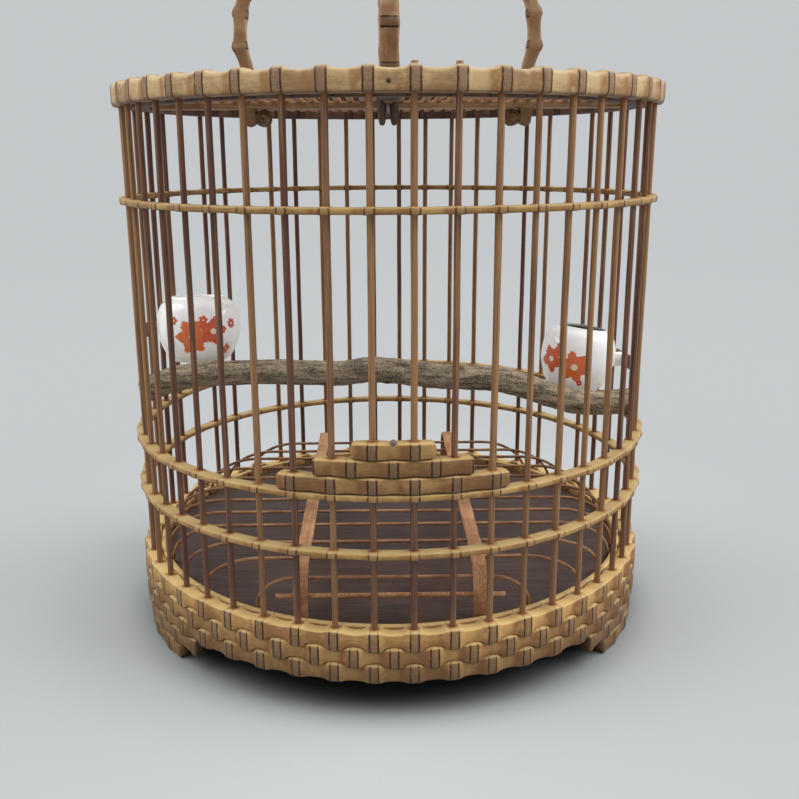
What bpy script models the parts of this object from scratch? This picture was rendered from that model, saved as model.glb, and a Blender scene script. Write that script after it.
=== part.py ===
"""Round bamboo bird cage with a sliding door, perch, two porcelain cups and a floor grille.

Metres, +Z up. The origin is on the ground at the cage's axis, and the door faces -Y.
An azimuth is measured from the door towards +X, so that +X is at a quarter turn.
"""

import math

import bmesh
import bpy
from mathutils import Matrix, Vector

# Clearances between pieces that touch, and how far a cutter runs past a wall
FIT_CLEARANCE = 0.0003
BAR_CLEARANCE = 0.00035
OVERRUN = 0.004

# Bars of the wall
BAR_COUNT = 48
DOOR_BAR_COUNT = 4
BAR_SIDES = 6
BAR_CIRCLE_RADIUS = 0.1543
BAR_RADIUS = 0.0021
BAR_SEAT_DEPTH = 0.022
BAR_HEAD_DEPTH = 0.007
BAR_TIP_RISE = 0.0025

# Base of stacked bamboo strips, with three stepped feet of two more strips each
ROW_PITCH = 0.0092
SKIRT_ROWS = 3
FOOT_ROWS = 2
SKIRT_OUTSIDE = 0.0043
SKIRT_GROOVE = 0.001
SKIRT_EDGE = 0.0006
SKIRT_WALL = 0.0132
SKIRT_WAIST = 0.0004
SKIRT_SCALLOP = 0.0021
TRAY_LEDGE = 0.0035
FOOT_AZIMUTHS = (-60, 60, 180)
FOOT_HALF_ANGLE = 9.5
FOOT_SPREAD = 6.5
FOOT_STEPS = 6
FOOT_WALL = 0.0062
FOOT_WALL_GROWTH = 0.001
FOOT_TENON = 0.0036
FOOT_TENON_INSET = 0.0013

# Tray that lies on the ledge inside the base
TRAY_DEPTH = 0.0043
TRAY_THICKNESS = 0.003
TRAY_CLEARANCE = 0.0005

# Hoops round the wall: the lower above the base, the middle above it, the upper below the rim
HOOP_LOWER_RISE = 0.0407
HOOP_MIDDLE_RISE = 0.0307
HOOP_UPPER_DROP = 0.0529
HOOP_HEIGHT = 0.0034
HOOP_OUTSIDE = 0.0049
HOOP_INSIDE = 0.0031

# Top rim, swollen at the nodes of its bamboo
RIM_BOTTOM_Z = 0.3084
RIM_HEIGHT = 0.0108
RIM_NODE_RISE = 0.0016
RIM_OUTSIDE = 0.0057
RIM_INSIDE = 0.0063
RIM_WAIST = 0.0012
NODE_HALF_LENGTH = 0.003

# Sill and door: curved blocks of bamboo that stand on the middle hoop
BLOCK_HEIGHT = 0.0086
BLOCK_OUTSIDE = 0.0045
BLOCK_INSIDE = 0.0043
BLOCK_WAIST = 0.0006
BLOCK_END_ROUND = 0.0009
BLOCK_GROOVE = 0.0002
BLOCK_BAR_DEPTH = 0.0065
SILL_HALF_ANGLE = 21.9
DOOR_LOWER_HALF_ANGLE = 14.75
DOOR_UPPER_HALF_ANGLE = 7.75
BLOCK_END_ANGLE = 0.5
KNOB_RADIUS = 0.0018

# Roof grille inside the rim
ROOF_RING_WIDTH = 0.0082
ROOF_RING_DROP = 0.0012
ROOF_RING_HEIGHT = 0.0088
BATTEN_WIDTH = 0.020
BATTEN_THICKNESS = 0.004
BATTEN_INSET = 0.0002
ROD_WIDTH = 0.0034
ROD_THICKNESS = 0.003
ROD_PITCH = 0.0075
ROD_SINK = 0.0005
LEG_CLEARANCE = 0.0008

# Handle of two crossing bows, with the hook through their crowns
BOW_SPREAD = 0.0865
BOW_LEG_INSET = 0.0042
BOW_SHOULDER = 0.033
BOW_CROWN = 0.040
BOW_CORNER_POWER = 2.5
BOW_HIP_SHARE = 0.75
BOW_STEPS = 6
BOW_WIDTH = 0.0108
BOW_THICKNESS = 0.0085
BOW_NODE_SWELL = 0.0007
BOW_END_TAPER = 0.0012
TOE_LENGTH = 0.0112
TOE_HEIGHT = 0.0100
TOE_INSET = 0.0076
PRONG_DROP = 0.012
PRONG_GAP = 0.0023
PRONG_LENGTH = 0.010
SHANK_RADIUS = 0.002
SHANK_CLEARANCE = 0.0004
SHANK_SIDES = 10
SHANK_RISE = 0.012
BEAD_RADIUS = 0.0048
HOOK_RADIUS = 0.017
HOOK_TIP_ANGLE = 235
HOOK_STEPS = 14
HOOK_TIP_SWELL_SHARE = 1.5

# Perch, a branch notched onto two bars over the middle hoop
PERCH_RADIUS = 0.0084
PERCH_OVERHANG = 0.0017
PERCH_LIFT = 0.0102
PERCH_RISE = 0.0227
PERCH_SHARES = (
    (-1.0, 0.46), (-0.872, 0.77), (-0.764, 0.90), (-0.566, 0.96), (-0.363, 0.94), (-0.193, 0.91),
    (-0.097, 1.0), (0.0, 0.97), (0.087, 0.89), (0.203, 0.80), (0.329, 0.76), (0.454, 0.67),
    (0.57, 0.46), (0.696, 0.15), (0.822, 0.0), (1.0, 0.065),
)

# Barrel cups, each held by a T-shaped lug between two bars
CUP_LEAN = 5.0
CUP_WALL = 0.0026
CUP_STEPS = 20
LEFT_CUP_INSET = 0.0293
LEFT_CUP_RADIUS = 0.0268
LEFT_CUP_HEIGHT = 0.0418
LEFT_CUP_LIFT = 0.0345
RIGHT_CUP_INSET = 0.0317
RIGHT_CUP_RADIUS = 0.0239
RIGHT_CUP_HEIGHT = 0.0408
RIGHT_CUP_LIFT = 0.0141
RIGHT_CUP_TILT = 8.5
CUP_OUTLINE_SHARES = (
    (0.64, 1.0), (0.88, 0.90), (0.99, 0.72), (1.0, 0.52), (0.93, 0.30), (0.60, 0.0),
)
LUG_WIDTH = 0.006
LUG_HEIGHT = 0.009
LUG_SINK = 0.004
LUG_HEAD_WIDTH = 0.0235
LUG_HEAD_THICKNESS = 0.0014
LUG_STEP = 0.0002
RIGHT_LUG_RISE = 0.018

# Floor grille, a low table of wires under two bent slats
GRILLE_HEIGHT = 0.0287
SLAT_OFFSET = 0.0478
SLAT_WIDTH = 0.008
SLAT_THICKNESS = 0.0018
SLAT_FRONT_GAP = 0.0016
SLAT_BACK_GAP = 0.0031
SLAT_BEND_RADIUS = 0.016
WIRE_RADIUS = 0.001
WIRE_SINK = 0.0007
WIRE_GAP = 0.0018
WIRE_BEND_RADIUS = 0.014
WIRE_PLACE_SHARES = (
    -0.73, -0.587, -0.42, -0.283, -0.145, 0.0, 0.129, 0.258, 0.397, 0.507, 0.636,
)
BEND_STEPS = 3
STEP_WIRE_SINK = 0.0003
BAR_WIRE_DROP = 0.0139
BAR_WIRE_RADIUS = 0.0013
BAR_WIRE_OVERHANG = 0.0092
GRILLE_TURN = 0.0

# Heights and radii that follow from the sizes above
SKIRT_BOTTOM_Z = FOOT_ROWS * ROW_PITCH
SKIRT_TOP_Z = SKIRT_BOTTOM_Z + SKIRT_ROWS * ROW_PITCH
SKIRT_RADIUS = BAR_CIRCLE_RADIUS + SKIRT_OUTSIDE
SKIRT_INNER_RADIUS = SKIRT_RADIUS - SKIRT_WALL
TRAY_TOP_Z = SKIRT_TOP_Z - TRAY_DEPTH
TRAY_BOTTOM_Z = TRAY_TOP_Z - TRAY_THICKNESS
GRILLE_TOP_Z = TRAY_TOP_Z + GRILLE_HEIGHT
HOOP_LOWER_Z = SKIRT_TOP_Z + HOOP_LOWER_RISE
HOOP_MIDDLE_Z = HOOP_LOWER_Z + HOOP_MIDDLE_RISE
HOOP_UPPER_Z = RIM_BOTTOM_Z - HOOP_UPPER_DROP
RIM_TOP_Z = RIM_BOTTOM_Z + RIM_HEIGHT + RIM_NODE_RISE
BAR_BOTTOM_Z = SKIRT_TOP_Z - BAR_SEAT_DEPTH
BAR_TOP_Z = RIM_BOTTOM_Z + BAR_HEAD_DEPTH
BAR_PITCH = 360 / BAR_COUNT
SILL_Z = HOOP_MIDDLE_Z + HOOP_HEIGHT + FIT_CLEARANCE
DOOR_LOWER_Z = SILL_Z + BLOCK_HEIGHT + FIT_CLEARANCE
DOOR_UPPER_Z = DOOR_LOWER_Z + BLOCK_HEIGHT + BLOCK_GROOVE
DOOR_TOP_Z = DOOR_UPPER_Z + BLOCK_HEIGHT
BOW_LEG_RADIUS = BOW_SPREAD - BOW_LEG_INSET
CROWN_Z = RIM_TOP_Z + BOW_SHOULDER + BOW_CROWN
CUP_AZIMUTH = BAR_PITCH * (BAR_COUNT / 4 + 1)
LEFT_CUP_Z = HOOP_MIDDLE_Z + LEFT_CUP_LIFT
RIGHT_CUP_Z = HOOP_MIDDLE_Z + RIGHT_CUP_LIFT
PERCH_HALF_LENGTH = BAR_CIRCLE_RADIUS + PERCH_OVERHANG
PERCH_LOW_Z = HOOP_MIDDLE_Z + PERCH_LIFT
SLAT_EDGE = SLAT_OFFSET + SLAT_WIDTH / 2
SLAT_REACH = math.sqrt(SKIRT_INNER_RADIUS ** 2 - SLAT_EDGE ** 2)
SLAT_FRONT_REACH = SLAT_REACH - SLAT_FRONT_GAP
SLAT_BACK_REACH = SLAT_REACH - SLAT_BACK_GAP
WIRE_REACH_RADIUS = SKIRT_INNER_RADIUS - WIRE_GAP

for leftover in list(bpy.data.objects):
    bpy.data.objects.remove(leftover)

cage = bpy.data.collections.new("bird_cage")
cutters = bpy.data.collections.new("cutters")
bpy.context.scene.collection.children.link(cage)
bpy.context.scene.collection.children.link(cutters)


# Materials


def material(name, colour, roughness, metallic=0.0):
    """A plain Principled finish."""
    made = bpy.data.materials.new(name)
    made.use_nodes = True
    shader = made.node_tree.nodes["Principled BSDF"]
    shader.inputs["Base Color"].default_value = (*colour, 1.0)
    shader.inputs["Roughness"].default_value = roughness
    shader.inputs["Metallic"].default_value = metallic
    made.diffuse_color = (*colour, 1.0)
    return made


dark_bamboo = material("dark_bamboo", (0.17, 0.08, 0.045), 0.45)
golden_bamboo = material("golden_bamboo", (0.56, 0.36, 0.17), 0.5)
pale_bamboo = material("pale_bamboo", (0.66, 0.47, 0.28), 0.5)
slat_bamboo = material("slat_bamboo", (0.52, 0.33, 0.22), 0.55)
bark = material("bark", (0.16, 0.11, 0.07), 0.85)
board = material("board", (0.10, 0.06, 0.06), 0.6)
porcelain = material("porcelain", (0.85, 0.84, 0.80), 0.12)
brass = material("brass", (0.70, 0.50, 0.22), 0.3, 1.0)


# Placing and joining


def polar(azimuth, radius, height):
    """The point at an azimuth in degrees, a distance from the axis and a height."""
    turn = math.radians(azimuth)
    return Vector((radius * math.sin(turn), -radius * math.cos(turn), height))


def at_azimuth(azimuth, radius=0.0):
    """The place at an azimuth, turned so that its own -Y points away from the axis."""
    return Matrix.Translation(polar(azimuth, radius, 0.0)) @ Matrix.Rotation(math.radians(azimuth), 4, "Z")


def add_object(name, mesh, finish=None):
    """A part of the cage if it has a finish, or else a helper that stays out of the render."""
    added = bpy.data.objects.new(name, mesh)
    if finish:
        cage.objects.link(added)
        mesh.materials.append(finish)
    else:
        cutters.objects.link(added)
        added.hide_render = True
        added.display_type = "WIRE"
    return added


def from_bmesh(name, shape, finish=None):
    """Turns a bmesh into an object with its faces pointing out."""
    bmesh.ops.recalc_face_normals(shape, faces=shape.faces)
    mesh = bpy.data.meshes.new(name)
    shape.to_mesh(mesh)
    shape.free()
    return add_object(name, mesh, finish)


def add_boolean(target, other, operation):
    """Cuts the other object from the target, or joins it on."""
    step = target.modifiers.new(other.name, "BOOLEAN")
    step.operation = operation
    step.solver = "EXACT"
    step.object = other


def round_off(target):
    """Shades the round sides smooth and keeps the edges sharp."""
    target.data.shade_smooth()
    target.data.set_sharp_from_angle(angle=math.radians(35))


def add_prism(shape, sides, radius, low, high, place):
    """Adds an upright prism to a bmesh."""
    middle = Matrix.Translation((0, 0, (low + high) / 2))
    bmesh.ops.create_cone(
        shape, cap_ends=True, segments=sides, radius1=radius, radius2=radius,
        depth=high - low, matrix=place @ middle,
    )


def add_box(shape, low, high, place):
    """Adds the box between two corners to a bmesh."""
    low = Vector(low)
    high = Vector(high)
    size = Matrix.Diagonal((*(high - low), 1.0))
    bmesh.ops.create_cube(shape, size=1.0, matrix=place @ Matrix.Translation((low + high) / 2) @ size)


def add_loft(shape, sections, closed):
    """Skins a run of like sections. A closed run meets itself, and an open one gets two ends."""
    rings = [[shape.verts.new(point) for point in section] for section in sections]
    around = len(rings[0])
    for index in range(len(rings) if closed else len(rings) - 1):
        ring = rings[index]
        following = rings[(index + 1) % len(rings)]
        for side in range(around):
            ahead = (side + 1) % around
            shape.faces.new((ring[side], ring[ahead], following[ahead], following[side]))
    if not closed:
        shape.faces.new(rings[0])
        shape.faces.new(rings[-1])


def add_turned_ring(name, inner, outer, low, high, steps, finish=None):
    """A ring of rectangular section, turned about the axis."""
    mesh = bpy.data.meshes.new(name)
    corners = [(outer, 0, high), (outer, 0, low), (inner, 0, low), (inner, 0, high)]
    mesh.from_pydata(corners, [(0, 1), (1, 2), (2, 3), (3, 0)], [])
    ring = add_object(name, mesh, finish)
    turn = ring.modifiers.new("turn", "SCREW")
    turn.steps = steps
    turn.render_steps = steps
    turn.use_merge_vertices = True
    turn.merge_threshold = 0.00001
    return ring


def add_tubes(name, runs, radius, resolution):
    """Makes one mesh of round tubes. A run is a list of points, each with a share of the radius."""
    curve = bpy.data.curves.new(name, "CURVE")
    curve.dimensions = "3D"
    curve.bevel_depth = radius
    curve.bevel_resolution = resolution
    curve.use_fill_caps = True
    for run in runs:
        spline = curve.splines.new("POLY")
        spline.points.add(len(run) - 1)
        for point, (place, share) in zip(spline.points, run):
            point.co = (*place, 1.0)
            point.radius = share
    guide = bpy.data.objects.new(name + "_guide", curve)
    cutters.objects.link(guide)
    graph = bpy.context.evaluated_depsgraph_get()
    mesh = bpy.data.meshes.new_from_object(guide.evaluated_get(graph))
    bpy.data.objects.remove(guide)
    shape = bmesh.new()
    shape.from_mesh(mesh)
    bmesh.ops.remove_doubles(shape, verts=shape.verts, dist=0.000001)
    return shape


# Wall of bars


def bar_azimuths(first, last):
    """The azimuths of the bars from one count to another, with the door in the middle at zero."""
    return [(index + 0.5) * BAR_PITCH for index in range(first, last)]


door_azimuths = bar_azimuths(-DOOR_BAR_COUNT // 2, DOOR_BAR_COUNT // 2)
fixed_azimuths = bar_azimuths(DOOR_BAR_COUNT // 2, BAR_COUNT - DOOR_BAR_COUNT // 2)


def make_bars():
    """The full-length bars, each its own object on one mesh."""
    shape = bmesh.new()
    add_prism(shape, BAR_SIDES, BAR_RADIUS, BAR_BOTTOM_Z, BAR_TOP_Z, Matrix())
    mesh = bpy.data.meshes.new("bar")
    shape.to_mesh(mesh)
    shape.free()
    mesh.materials.append(dark_bamboo)
    for index, azimuth in enumerate(fixed_azimuths):
        bar = bpy.data.objects.new(f"bar_{index + 1:02d}", mesh)
        bar.matrix_world = at_azimuth(azimuth, BAR_CIRCLE_RADIUS)
        cage.objects.link(bar)
        round_off(bar)


def make_drill(name, azimuths, low, high, more_azimuths=(), more_high=0.0):
    """A cutter with one hole for each bar. The second list of holes starts as low and ends elsewhere."""
    shape = bmesh.new()
    radius = BAR_RADIUS + BAR_CLEARANCE / math.cos(math.pi / BAR_SIDES)
    for azimuth in azimuths:
        add_prism(shape, BAR_SIDES, radius, low, high, at_azimuth(azimuth, BAR_CIRCLE_RADIUS))
    for azimuth in more_azimuths:
        add_prism(shape, BAR_SIDES, radius, low, more_high, at_azimuth(azimuth, BAR_CIRCLE_RADIUS))
    return from_bmesh(name, shape)


bar_drill = make_drill(
    "bar_drill", fixed_azimuths, BAR_BOTTOM_Z - FIT_CLEARANCE, BAR_TOP_Z + FIT_CLEARANCE,
    door_azimuths, RIM_TOP_Z + OVERRUN,
)


# Base


def skirt_section(azimuth, swell):
    """The base's section, with its strips' grooves outside and the tray's ledge inside.

    The swell is 1 at a node of the bamboo and 0 in the waist between two nodes.
    """
    outer = SKIRT_RADIUS - (1 - swell) * SKIRT_WAIST
    bottom = SKIRT_BOTTOM_Z + (1 - swell) * SKIRT_SCALLOP
    corners = [(outer - SKIRT_EDGE, SKIRT_TOP_Z)]
    for row in range(SKIRT_ROWS):
        top = SKIRT_TOP_Z - row * ROW_PITCH
        corners.append((outer, top - ROW_PITCH / 2))
        corners.append((outer - SKIRT_GROOVE, top - ROW_PITCH))
    corners[-1] = (outer - SKIRT_EDGE, bottom)
    ledge_radius = SKIRT_INNER_RADIUS - TRAY_LEDGE
    ledge_z = TRAY_BOTTOM_Z - FIT_CLEARANCE
    corners += [
        (ledge_radius, SKIRT_BOTTOM_Z + SKIRT_SCALLOP),
        (ledge_radius, ledge_z),
        (SKIRT_INNER_RADIUS, ledge_z),
        (SKIRT_INNER_RADIUS, SKIRT_TOP_Z),
    ]
    return [polar(azimuth, radius, height) for radius, height in corners]


def foot_section(azimuth, row):
    """The section of one row of a foot, whose tenon runs up into the row above."""
    low = row * ROW_PITCH
    wall = FOOT_WALL + row * FOOT_WALL_GROWTH
    corners = [
        (SKIRT_RADIUS - SKIRT_EDGE, low),
        (SKIRT_RADIUS, low + ROW_PITCH / 2),
        (SKIRT_RADIUS - FOOT_TENON_INSET, low + ROW_PITCH),
        (SKIRT_RADIUS - 2 * FOOT_TENON_INSET, low + ROW_PITCH + FOOT_TENON),
        (SKIRT_RADIUS - wall, low + ROW_PITCH + FOOT_TENON),
        (SKIRT_RADIUS - wall, low),
    ]
    return [polar(azimuth, radius, height) for radius, height in corners]


def make_base():
    """The ring of stacked strips with its three feet, drilled for the bars."""
    shape = bmesh.new()
    stations = [index * BAR_PITCH / 2 for index in range(2 * BAR_COUNT)]
    add_loft(shape, [skirt_section(azimuth, index % 2) for index, azimuth in enumerate(stations)], True)
    skirt = from_bmesh("base_skirt", shape, golden_bamboo)
    for row in reversed(range(FOOT_ROWS)):
        feet = bmesh.new()
        half = FOOT_HALF_ANGLE + row * FOOT_SPREAD
        for middle in FOOT_AZIMUTHS:
            turns = [middle + half * (2 * step / FOOT_STEPS - 1) for step in range(FOOT_STEPS + 1)]
            add_loft(feet, [foot_section(azimuth, row) for azimuth in turns], False)
        add_boolean(skirt, from_bmesh(f"feet_{row}", feet), "UNION")
    add_boolean(skirt, bar_drill, "DIFFERENCE")


def make_tray():
    """The flat board that lies on the ledge."""
    shape = bmesh.new()
    add_prism(shape, BAR_COUNT, SKIRT_INNER_RADIUS - TRAY_CLEARANCE, TRAY_BOTTOM_Z, TRAY_TOP_Z, Matrix())
    from_bmesh("floor_tray", shape, board)


# Hoops and rim


def make_hoop(name, low):
    """A split-bamboo hoop that the bars pass through."""
    hoop = add_turned_ring(
        name, BAR_CIRCLE_RADIUS - HOOP_INSIDE, BAR_CIRCLE_RADIUS + HOOP_OUTSIDE,
        low, low + HOOP_HEIGHT, BAR_COUNT, golden_bamboo,
    )
    add_boolean(hoop, bar_drill, "DIFFERENCE")


def rim_section(azimuth, swell):
    """The rim's section, wider and higher at a node."""
    outer = BAR_CIRCLE_RADIUS + RIM_OUTSIDE - (1 - swell) * RIM_WAIST
    inner = BAR_CIRCLE_RADIUS - RIM_INSIDE
    top = RIM_BOTTOM_Z + RIM_HEIGHT + swell * RIM_NODE_RISE
    corners = [(outer, top), (outer, RIM_BOTTOM_Z), (inner, RIM_BOTTOM_Z), (inner, top)]
    return [polar(azimuth, radius, height) for radius, height in corners]


def make_rim():
    """The top rim. Fixed bars end blind in it, and the door's bars slide through."""
    shape = bmesh.new()
    node = math.degrees(NODE_HALF_LENGTH / BAR_CIRCLE_RADIUS)
    sections = []
    for azimuth in bar_azimuths(0, BAR_COUNT):
        sections.append(rim_section(azimuth - node, 1))
        sections.append(rim_section(azimuth + node, 1))
        sections.append(rim_section(azimuth + BAR_PITCH / 2, 0))
    add_loft(shape, sections, True)
    rim = from_bmesh("top_rim", shape, pale_bamboo)
    add_boolean(rim, bar_drill, "DIFFERENCE")


# Sill and door


def block_section(azimuth, low, swell, trim):
    """The section of a block. A trimmed section is smaller all round, for a rounded end."""
    inner = BAR_CIRCLE_RADIUS - BLOCK_INSIDE + trim
    outer = BAR_CIRCLE_RADIUS + BLOCK_OUTSIDE - trim - (1 - swell) * BLOCK_WAIST
    bottom = low + trim
    top = low + BLOCK_HEIGHT - trim
    corners = [(outer, top), (outer, bottom), (inner, bottom), (inner, top)]
    return [polar(azimuth, radius, height) for radius, height in corners]


def block_shape(half_angle, low, nodes_on_bars):
    """A curved block of bamboo with a node on each bar, or midway between two bars."""
    shape = bmesh.new()
    step = BAR_PITCH / 2
    last = math.ceil((half_angle - BLOCK_END_ANGLE) / step) - 1
    sections = [block_section(-half_angle, low, 1, BLOCK_END_ROUND)]
    sections.append(block_section(BLOCK_END_ANGLE - half_angle, low, 1, 0))
    for index in range(-last, last + 1):
        swell = (index + nodes_on_bars + 1) % 2
        sections.append(block_section(index * step, low, swell, 0))
    sections.append(block_section(half_angle - BLOCK_END_ANGLE, low, 1, 0))
    sections.append(block_section(half_angle, low, 1, BLOCK_END_ROUND))
    add_loft(shape, sections, False)
    return shape


def bars_shape(azimuths, low, high):
    """Upright bars for the sill or the door."""
    shape = bmesh.new()
    for azimuth in azimuths:
        add_prism(shape, BAR_SIDES, BAR_RADIUS, low, high, at_azimuth(azimuth, BAR_CIRCLE_RADIUS))
    return shape


def make_sill():
    """The fixed block under the door, on its four short bars."""
    sill = from_bmesh("door_sill", block_shape(SILL_HALF_ANGLE, SILL_Z, 1), golden_bamboo)
    short_bars = bars_shape(door_azimuths, BAR_BOTTOM_Z, SILL_Z + BLOCK_BAR_DEPTH)
    add_boolean(sill, from_bmesh("sill_bars", short_bars), "UNION")
    beside = [azimuth for azimuth in bar_azimuths(-BAR_COUNT // 2, BAR_COUNT // 2)
              if DOOR_LOWER_HALF_ANGLE < abs(azimuth) < SILL_HALF_ANGLE and azimuth not in door_azimuths]
    drill = make_drill("sill_drill", beside, SILL_Z - OVERRUN, SILL_Z + BLOCK_HEIGHT + OVERRUN)
    add_boolean(sill, drill, "DIFFERENCE")


def make_door():
    """Two blocks on four long bars that slide up through the upper hoop and the rim."""
    door = from_bmesh("door", block_shape(DOOR_LOWER_HALF_ANGLE, DOOR_LOWER_Z, 0), golden_bamboo)
    upper = from_bmesh("door_upper_block", block_shape(DOOR_UPPER_HALF_ANGLE, DOOR_UPPER_Z, 1))
    long_low = DOOR_LOWER_Z + BLOCK_HEIGHT - BLOCK_BAR_DEPTH
    bars = from_bmesh("door_bars", bars_shape(door_azimuths, long_low, RIM_TOP_Z + BAR_TIP_RISE))
    knob = bmesh.new()
    knob_place = Matrix.Translation(polar(0, BAR_CIRCLE_RADIUS + BLOCK_OUTSIDE / 2, DOOR_TOP_Z))
    bmesh.ops.create_uvsphere(knob, u_segments=8, v_segments=6, radius=KNOB_RADIUS, matrix=knob_place)
    add_boolean(door, bars, "UNION")
    add_boolean(door, upper, "UNION")
    add_boolean(door, from_bmesh("door_knob", knob), "UNION")


# Roof


def make_roof():
    """A ring inside the rim with two crossing battens and a deck of rods, open at the handle's legs."""
    outer = BAR_CIRCLE_RADIUS - RIM_INSIDE - BAR_CLEARANCE
    inner = outer - ROOF_RING_WIDTH
    middle = (inner + outer) / 2
    low = RIM_BOTTOM_Z - ROOF_RING_DROP
    roof = add_turned_ring("roof_grille", inner, outer, low, low + ROOF_RING_HEIGHT, BAR_COUNT, slat_bamboo)
    batten_top = RIM_BOTTOM_Z + BATTEN_THICKNESS
    half = BATTEN_WIDTH / 2
    across = bmesh.new()
    add_box(across, (-middle, -half, RIM_BOTTOM_Z), (middle, half, batten_top), Matrix())
    along = bmesh.new()
    add_box(along, (-half, -middle, RIM_BOTTOM_Z + BATTEN_INSET), (half, middle, batten_top - BATTEN_INSET),
            Matrix())
    rods = bmesh.new()
    rod_low = batten_top - ROD_SINK
    side_rods = math.floor((inner - ROD_WIDTH) / ROD_PITCH)
    for index in range(-side_rods, side_rods + 1):
        place = index * ROD_PITCH
        reach = math.sqrt(middle ** 2 - place ** 2)
        add_box(rods, (place - ROD_WIDTH / 2, -reach, rod_low),
                (place + ROD_WIDTH / 2, reach, rod_low + ROD_THICKNESS), Matrix())
    slots = bmesh.new()
    slot_width = BOW_WIDTH / 2 + FIT_CLEARANCE
    slot_near = BOW_LEG_RADIUS - BOW_THICKNESS / 2 - LEG_CLEARANCE
    slot_far = BOW_LEG_RADIUS + BOW_THICKNESS / 2 + LEG_CLEARANCE
    for quarter in range(4):
        add_box(slots, (-slot_width, -slot_far, low - OVERRUN),
                (slot_width, -slot_near, low + ROOF_RING_HEIGHT + OVERRUN), at_azimuth(90 * quarter))
    add_boolean(roof, from_bmesh("batten_across", across), "UNION")
    add_boolean(roof, from_bmesh("batten_along", along), "UNION")
    add_boolean(roof, from_bmesh("roof_rods", rods), "UNION")
    add_boolean(roof, from_bmesh("leg_slots", slots), "DIFFERENCE")


# Handle and hook


def strip_sections(path, direction, width, thicknesses):
    """Rectangular sections along a path of (reach, height), in the upright plane of a direction."""
    sideways = Vector((0, 0, 1)).cross(direction)
    sections = []
    for index, (reach, height) in enumerate(path):
        before = Vector(path[max(index - 1, 0)])
        after = Vector(path[min(index + 1, len(path) - 1)])
        tangent = (after - before).normalized()
        normal = Vector((-tangent.y, tangent.x)) * thicknesses[index] / 2
        section = []
        for side, face in ((1, 1), (1, -1), (-1, -1), (-1, 1)):
            flat = Vector((reach, height)) + face * normal
            section.append(direction * flat.x + Vector((0, 0, flat.y)) + side * sideways * width / 2)
        sections.append(section)
    return sections


def bow_path(crown, foot_z):
    """The centre line of a bow from one foot to the other, as (reach, height)."""
    shoulder_z = RIM_TOP_Z + BOW_SHOULDER
    half = [(BOW_LEG_RADIUS, foot_z), (BOW_LEG_RADIUS, RIM_BOTTOM_Z), (BOW_LEG_RADIUS, RIM_TOP_Z)]
    half.append((BOW_LEG_RADIUS + BOW_LEG_INSET / 4, RIM_TOP_Z + BOW_SHOULDER / 3))
    half.append((BOW_SPREAD, RIM_TOP_Z + BOW_HIP_SHARE * BOW_SHOULDER))
    for step in range(1, BOW_STEPS + 1):
        turn = math.pi / 2 * step / (BOW_STEPS + 0.5)
        power = 2 / BOW_CORNER_POWER
        half.append((BOW_SPREAD * math.cos(turn) ** power, shoulder_z + crown * math.sin(turn) ** power))
    return half + [(0.0, shoulder_z + crown)] + [(-reach, height) for reach, height in reversed(half)]


def bow_shape(direction, crown, foot_z):
    """A flat bamboo bow, a little thicker at every other station, where it has a node."""
    shape = bmesh.new()
    path = bow_path(crown, foot_z)
    thicknesses = [BOW_THICKNESS + (index % 2) * BOW_NODE_SWELL for index in range(len(path))]
    for low in (0, 1, 2):
        thicknesses[low] = BOW_THICKNESS
        thicknesses[-1 - low] = BOW_THICKNESS
    thicknesses[0] -= BOW_END_TAPER
    thicknesses[-1] -= BOW_END_TAPER
    add_loft(shape, strip_sections(path, direction, BOW_WIDTH, thicknesses), False)
    return shape


def make_handle():
    """The bow from side to side over the bow from front to back, both open at the crown for the hook."""
    under_crown = BOW_CROWN - BOW_THICKNESS - BOW_NODE_SWELL - FIT_CLEARANCE
    toe_z = RIM_BOTTOM_Z - FIT_CLEARANCE - TOE_HEIGHT / 2
    side_shape = bow_shape(Vector((1, 0, 0)), BOW_CROWN, toe_z - TOE_HEIGHT / 2)
    side_bow = from_bmesh("handle_bow_side", side_shape, pale_bamboo)
    toes = bmesh.new()
    for side in (-1, 1):
        size = Matrix.Diagonal((TOE_LENGTH / 2, BOW_WIDTH / 2, TOE_HEIGHT / 2, 1.0))
        place = Matrix.Translation((side * (BOW_LEG_RADIUS - TOE_INSET), 0, toe_z))
        bmesh.ops.create_uvsphere(toes, u_segments=10, v_segments=6, radius=1.0, matrix=place @ size)
    add_boolean(side_bow, from_bmesh("bow_toes", toes), "UNION")
    front_shape = bow_shape(Vector((0, 1, 0)), under_crown, RIM_BOTTOM_Z - PRONG_DROP)
    front_bow = from_bmesh("handle_bow_front", front_shape, pale_bamboo)
    forks = bmesh.new()
    for side in (0, 180):
        add_box(forks, (-PRONG_GAP / 2, -BOW_SPREAD, RIM_BOTTOM_Z - PRONG_DROP - OVERRUN),
                (PRONG_GAP / 2, BOW_THICKNESS - BOW_SPREAD + OVERRUN, RIM_BOTTOM_Z - PRONG_DROP + PRONG_LENGTH),
                at_azimuth(side))
    add_boolean(front_bow, from_bmesh("bow_forks", forks), "DIFFERENCE")
    drill = bmesh.new()
    add_prism(drill, SHANK_SIDES, SHANK_RADIUS + SHANK_CLEARANCE, RIM_TOP_Z + BOW_SHOULDER + under_crown / 2,
              CROWN_Z + BOW_CROWN, Matrix())
    hook_drill = from_bmesh("hook_drill", drill)
    add_boolean(side_bow, hook_drill, "DIFFERENCE")
    add_boolean(front_bow, hook_drill, "DIFFERENCE")


def bead(height):
    """A bead on the shank, as points with shares of the shank's radius."""
    swell = BEAD_RADIUS / SHANK_RADIUS
    shares = ((-1, 1.0), (-0.75, 0.75 * swell), (0, swell), (0.75, 0.75 * swell), (1, 1.0))
    return [(Vector((0, 0, height + rise * BEAD_RADIUS)), share) for rise, share in shares]


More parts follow.
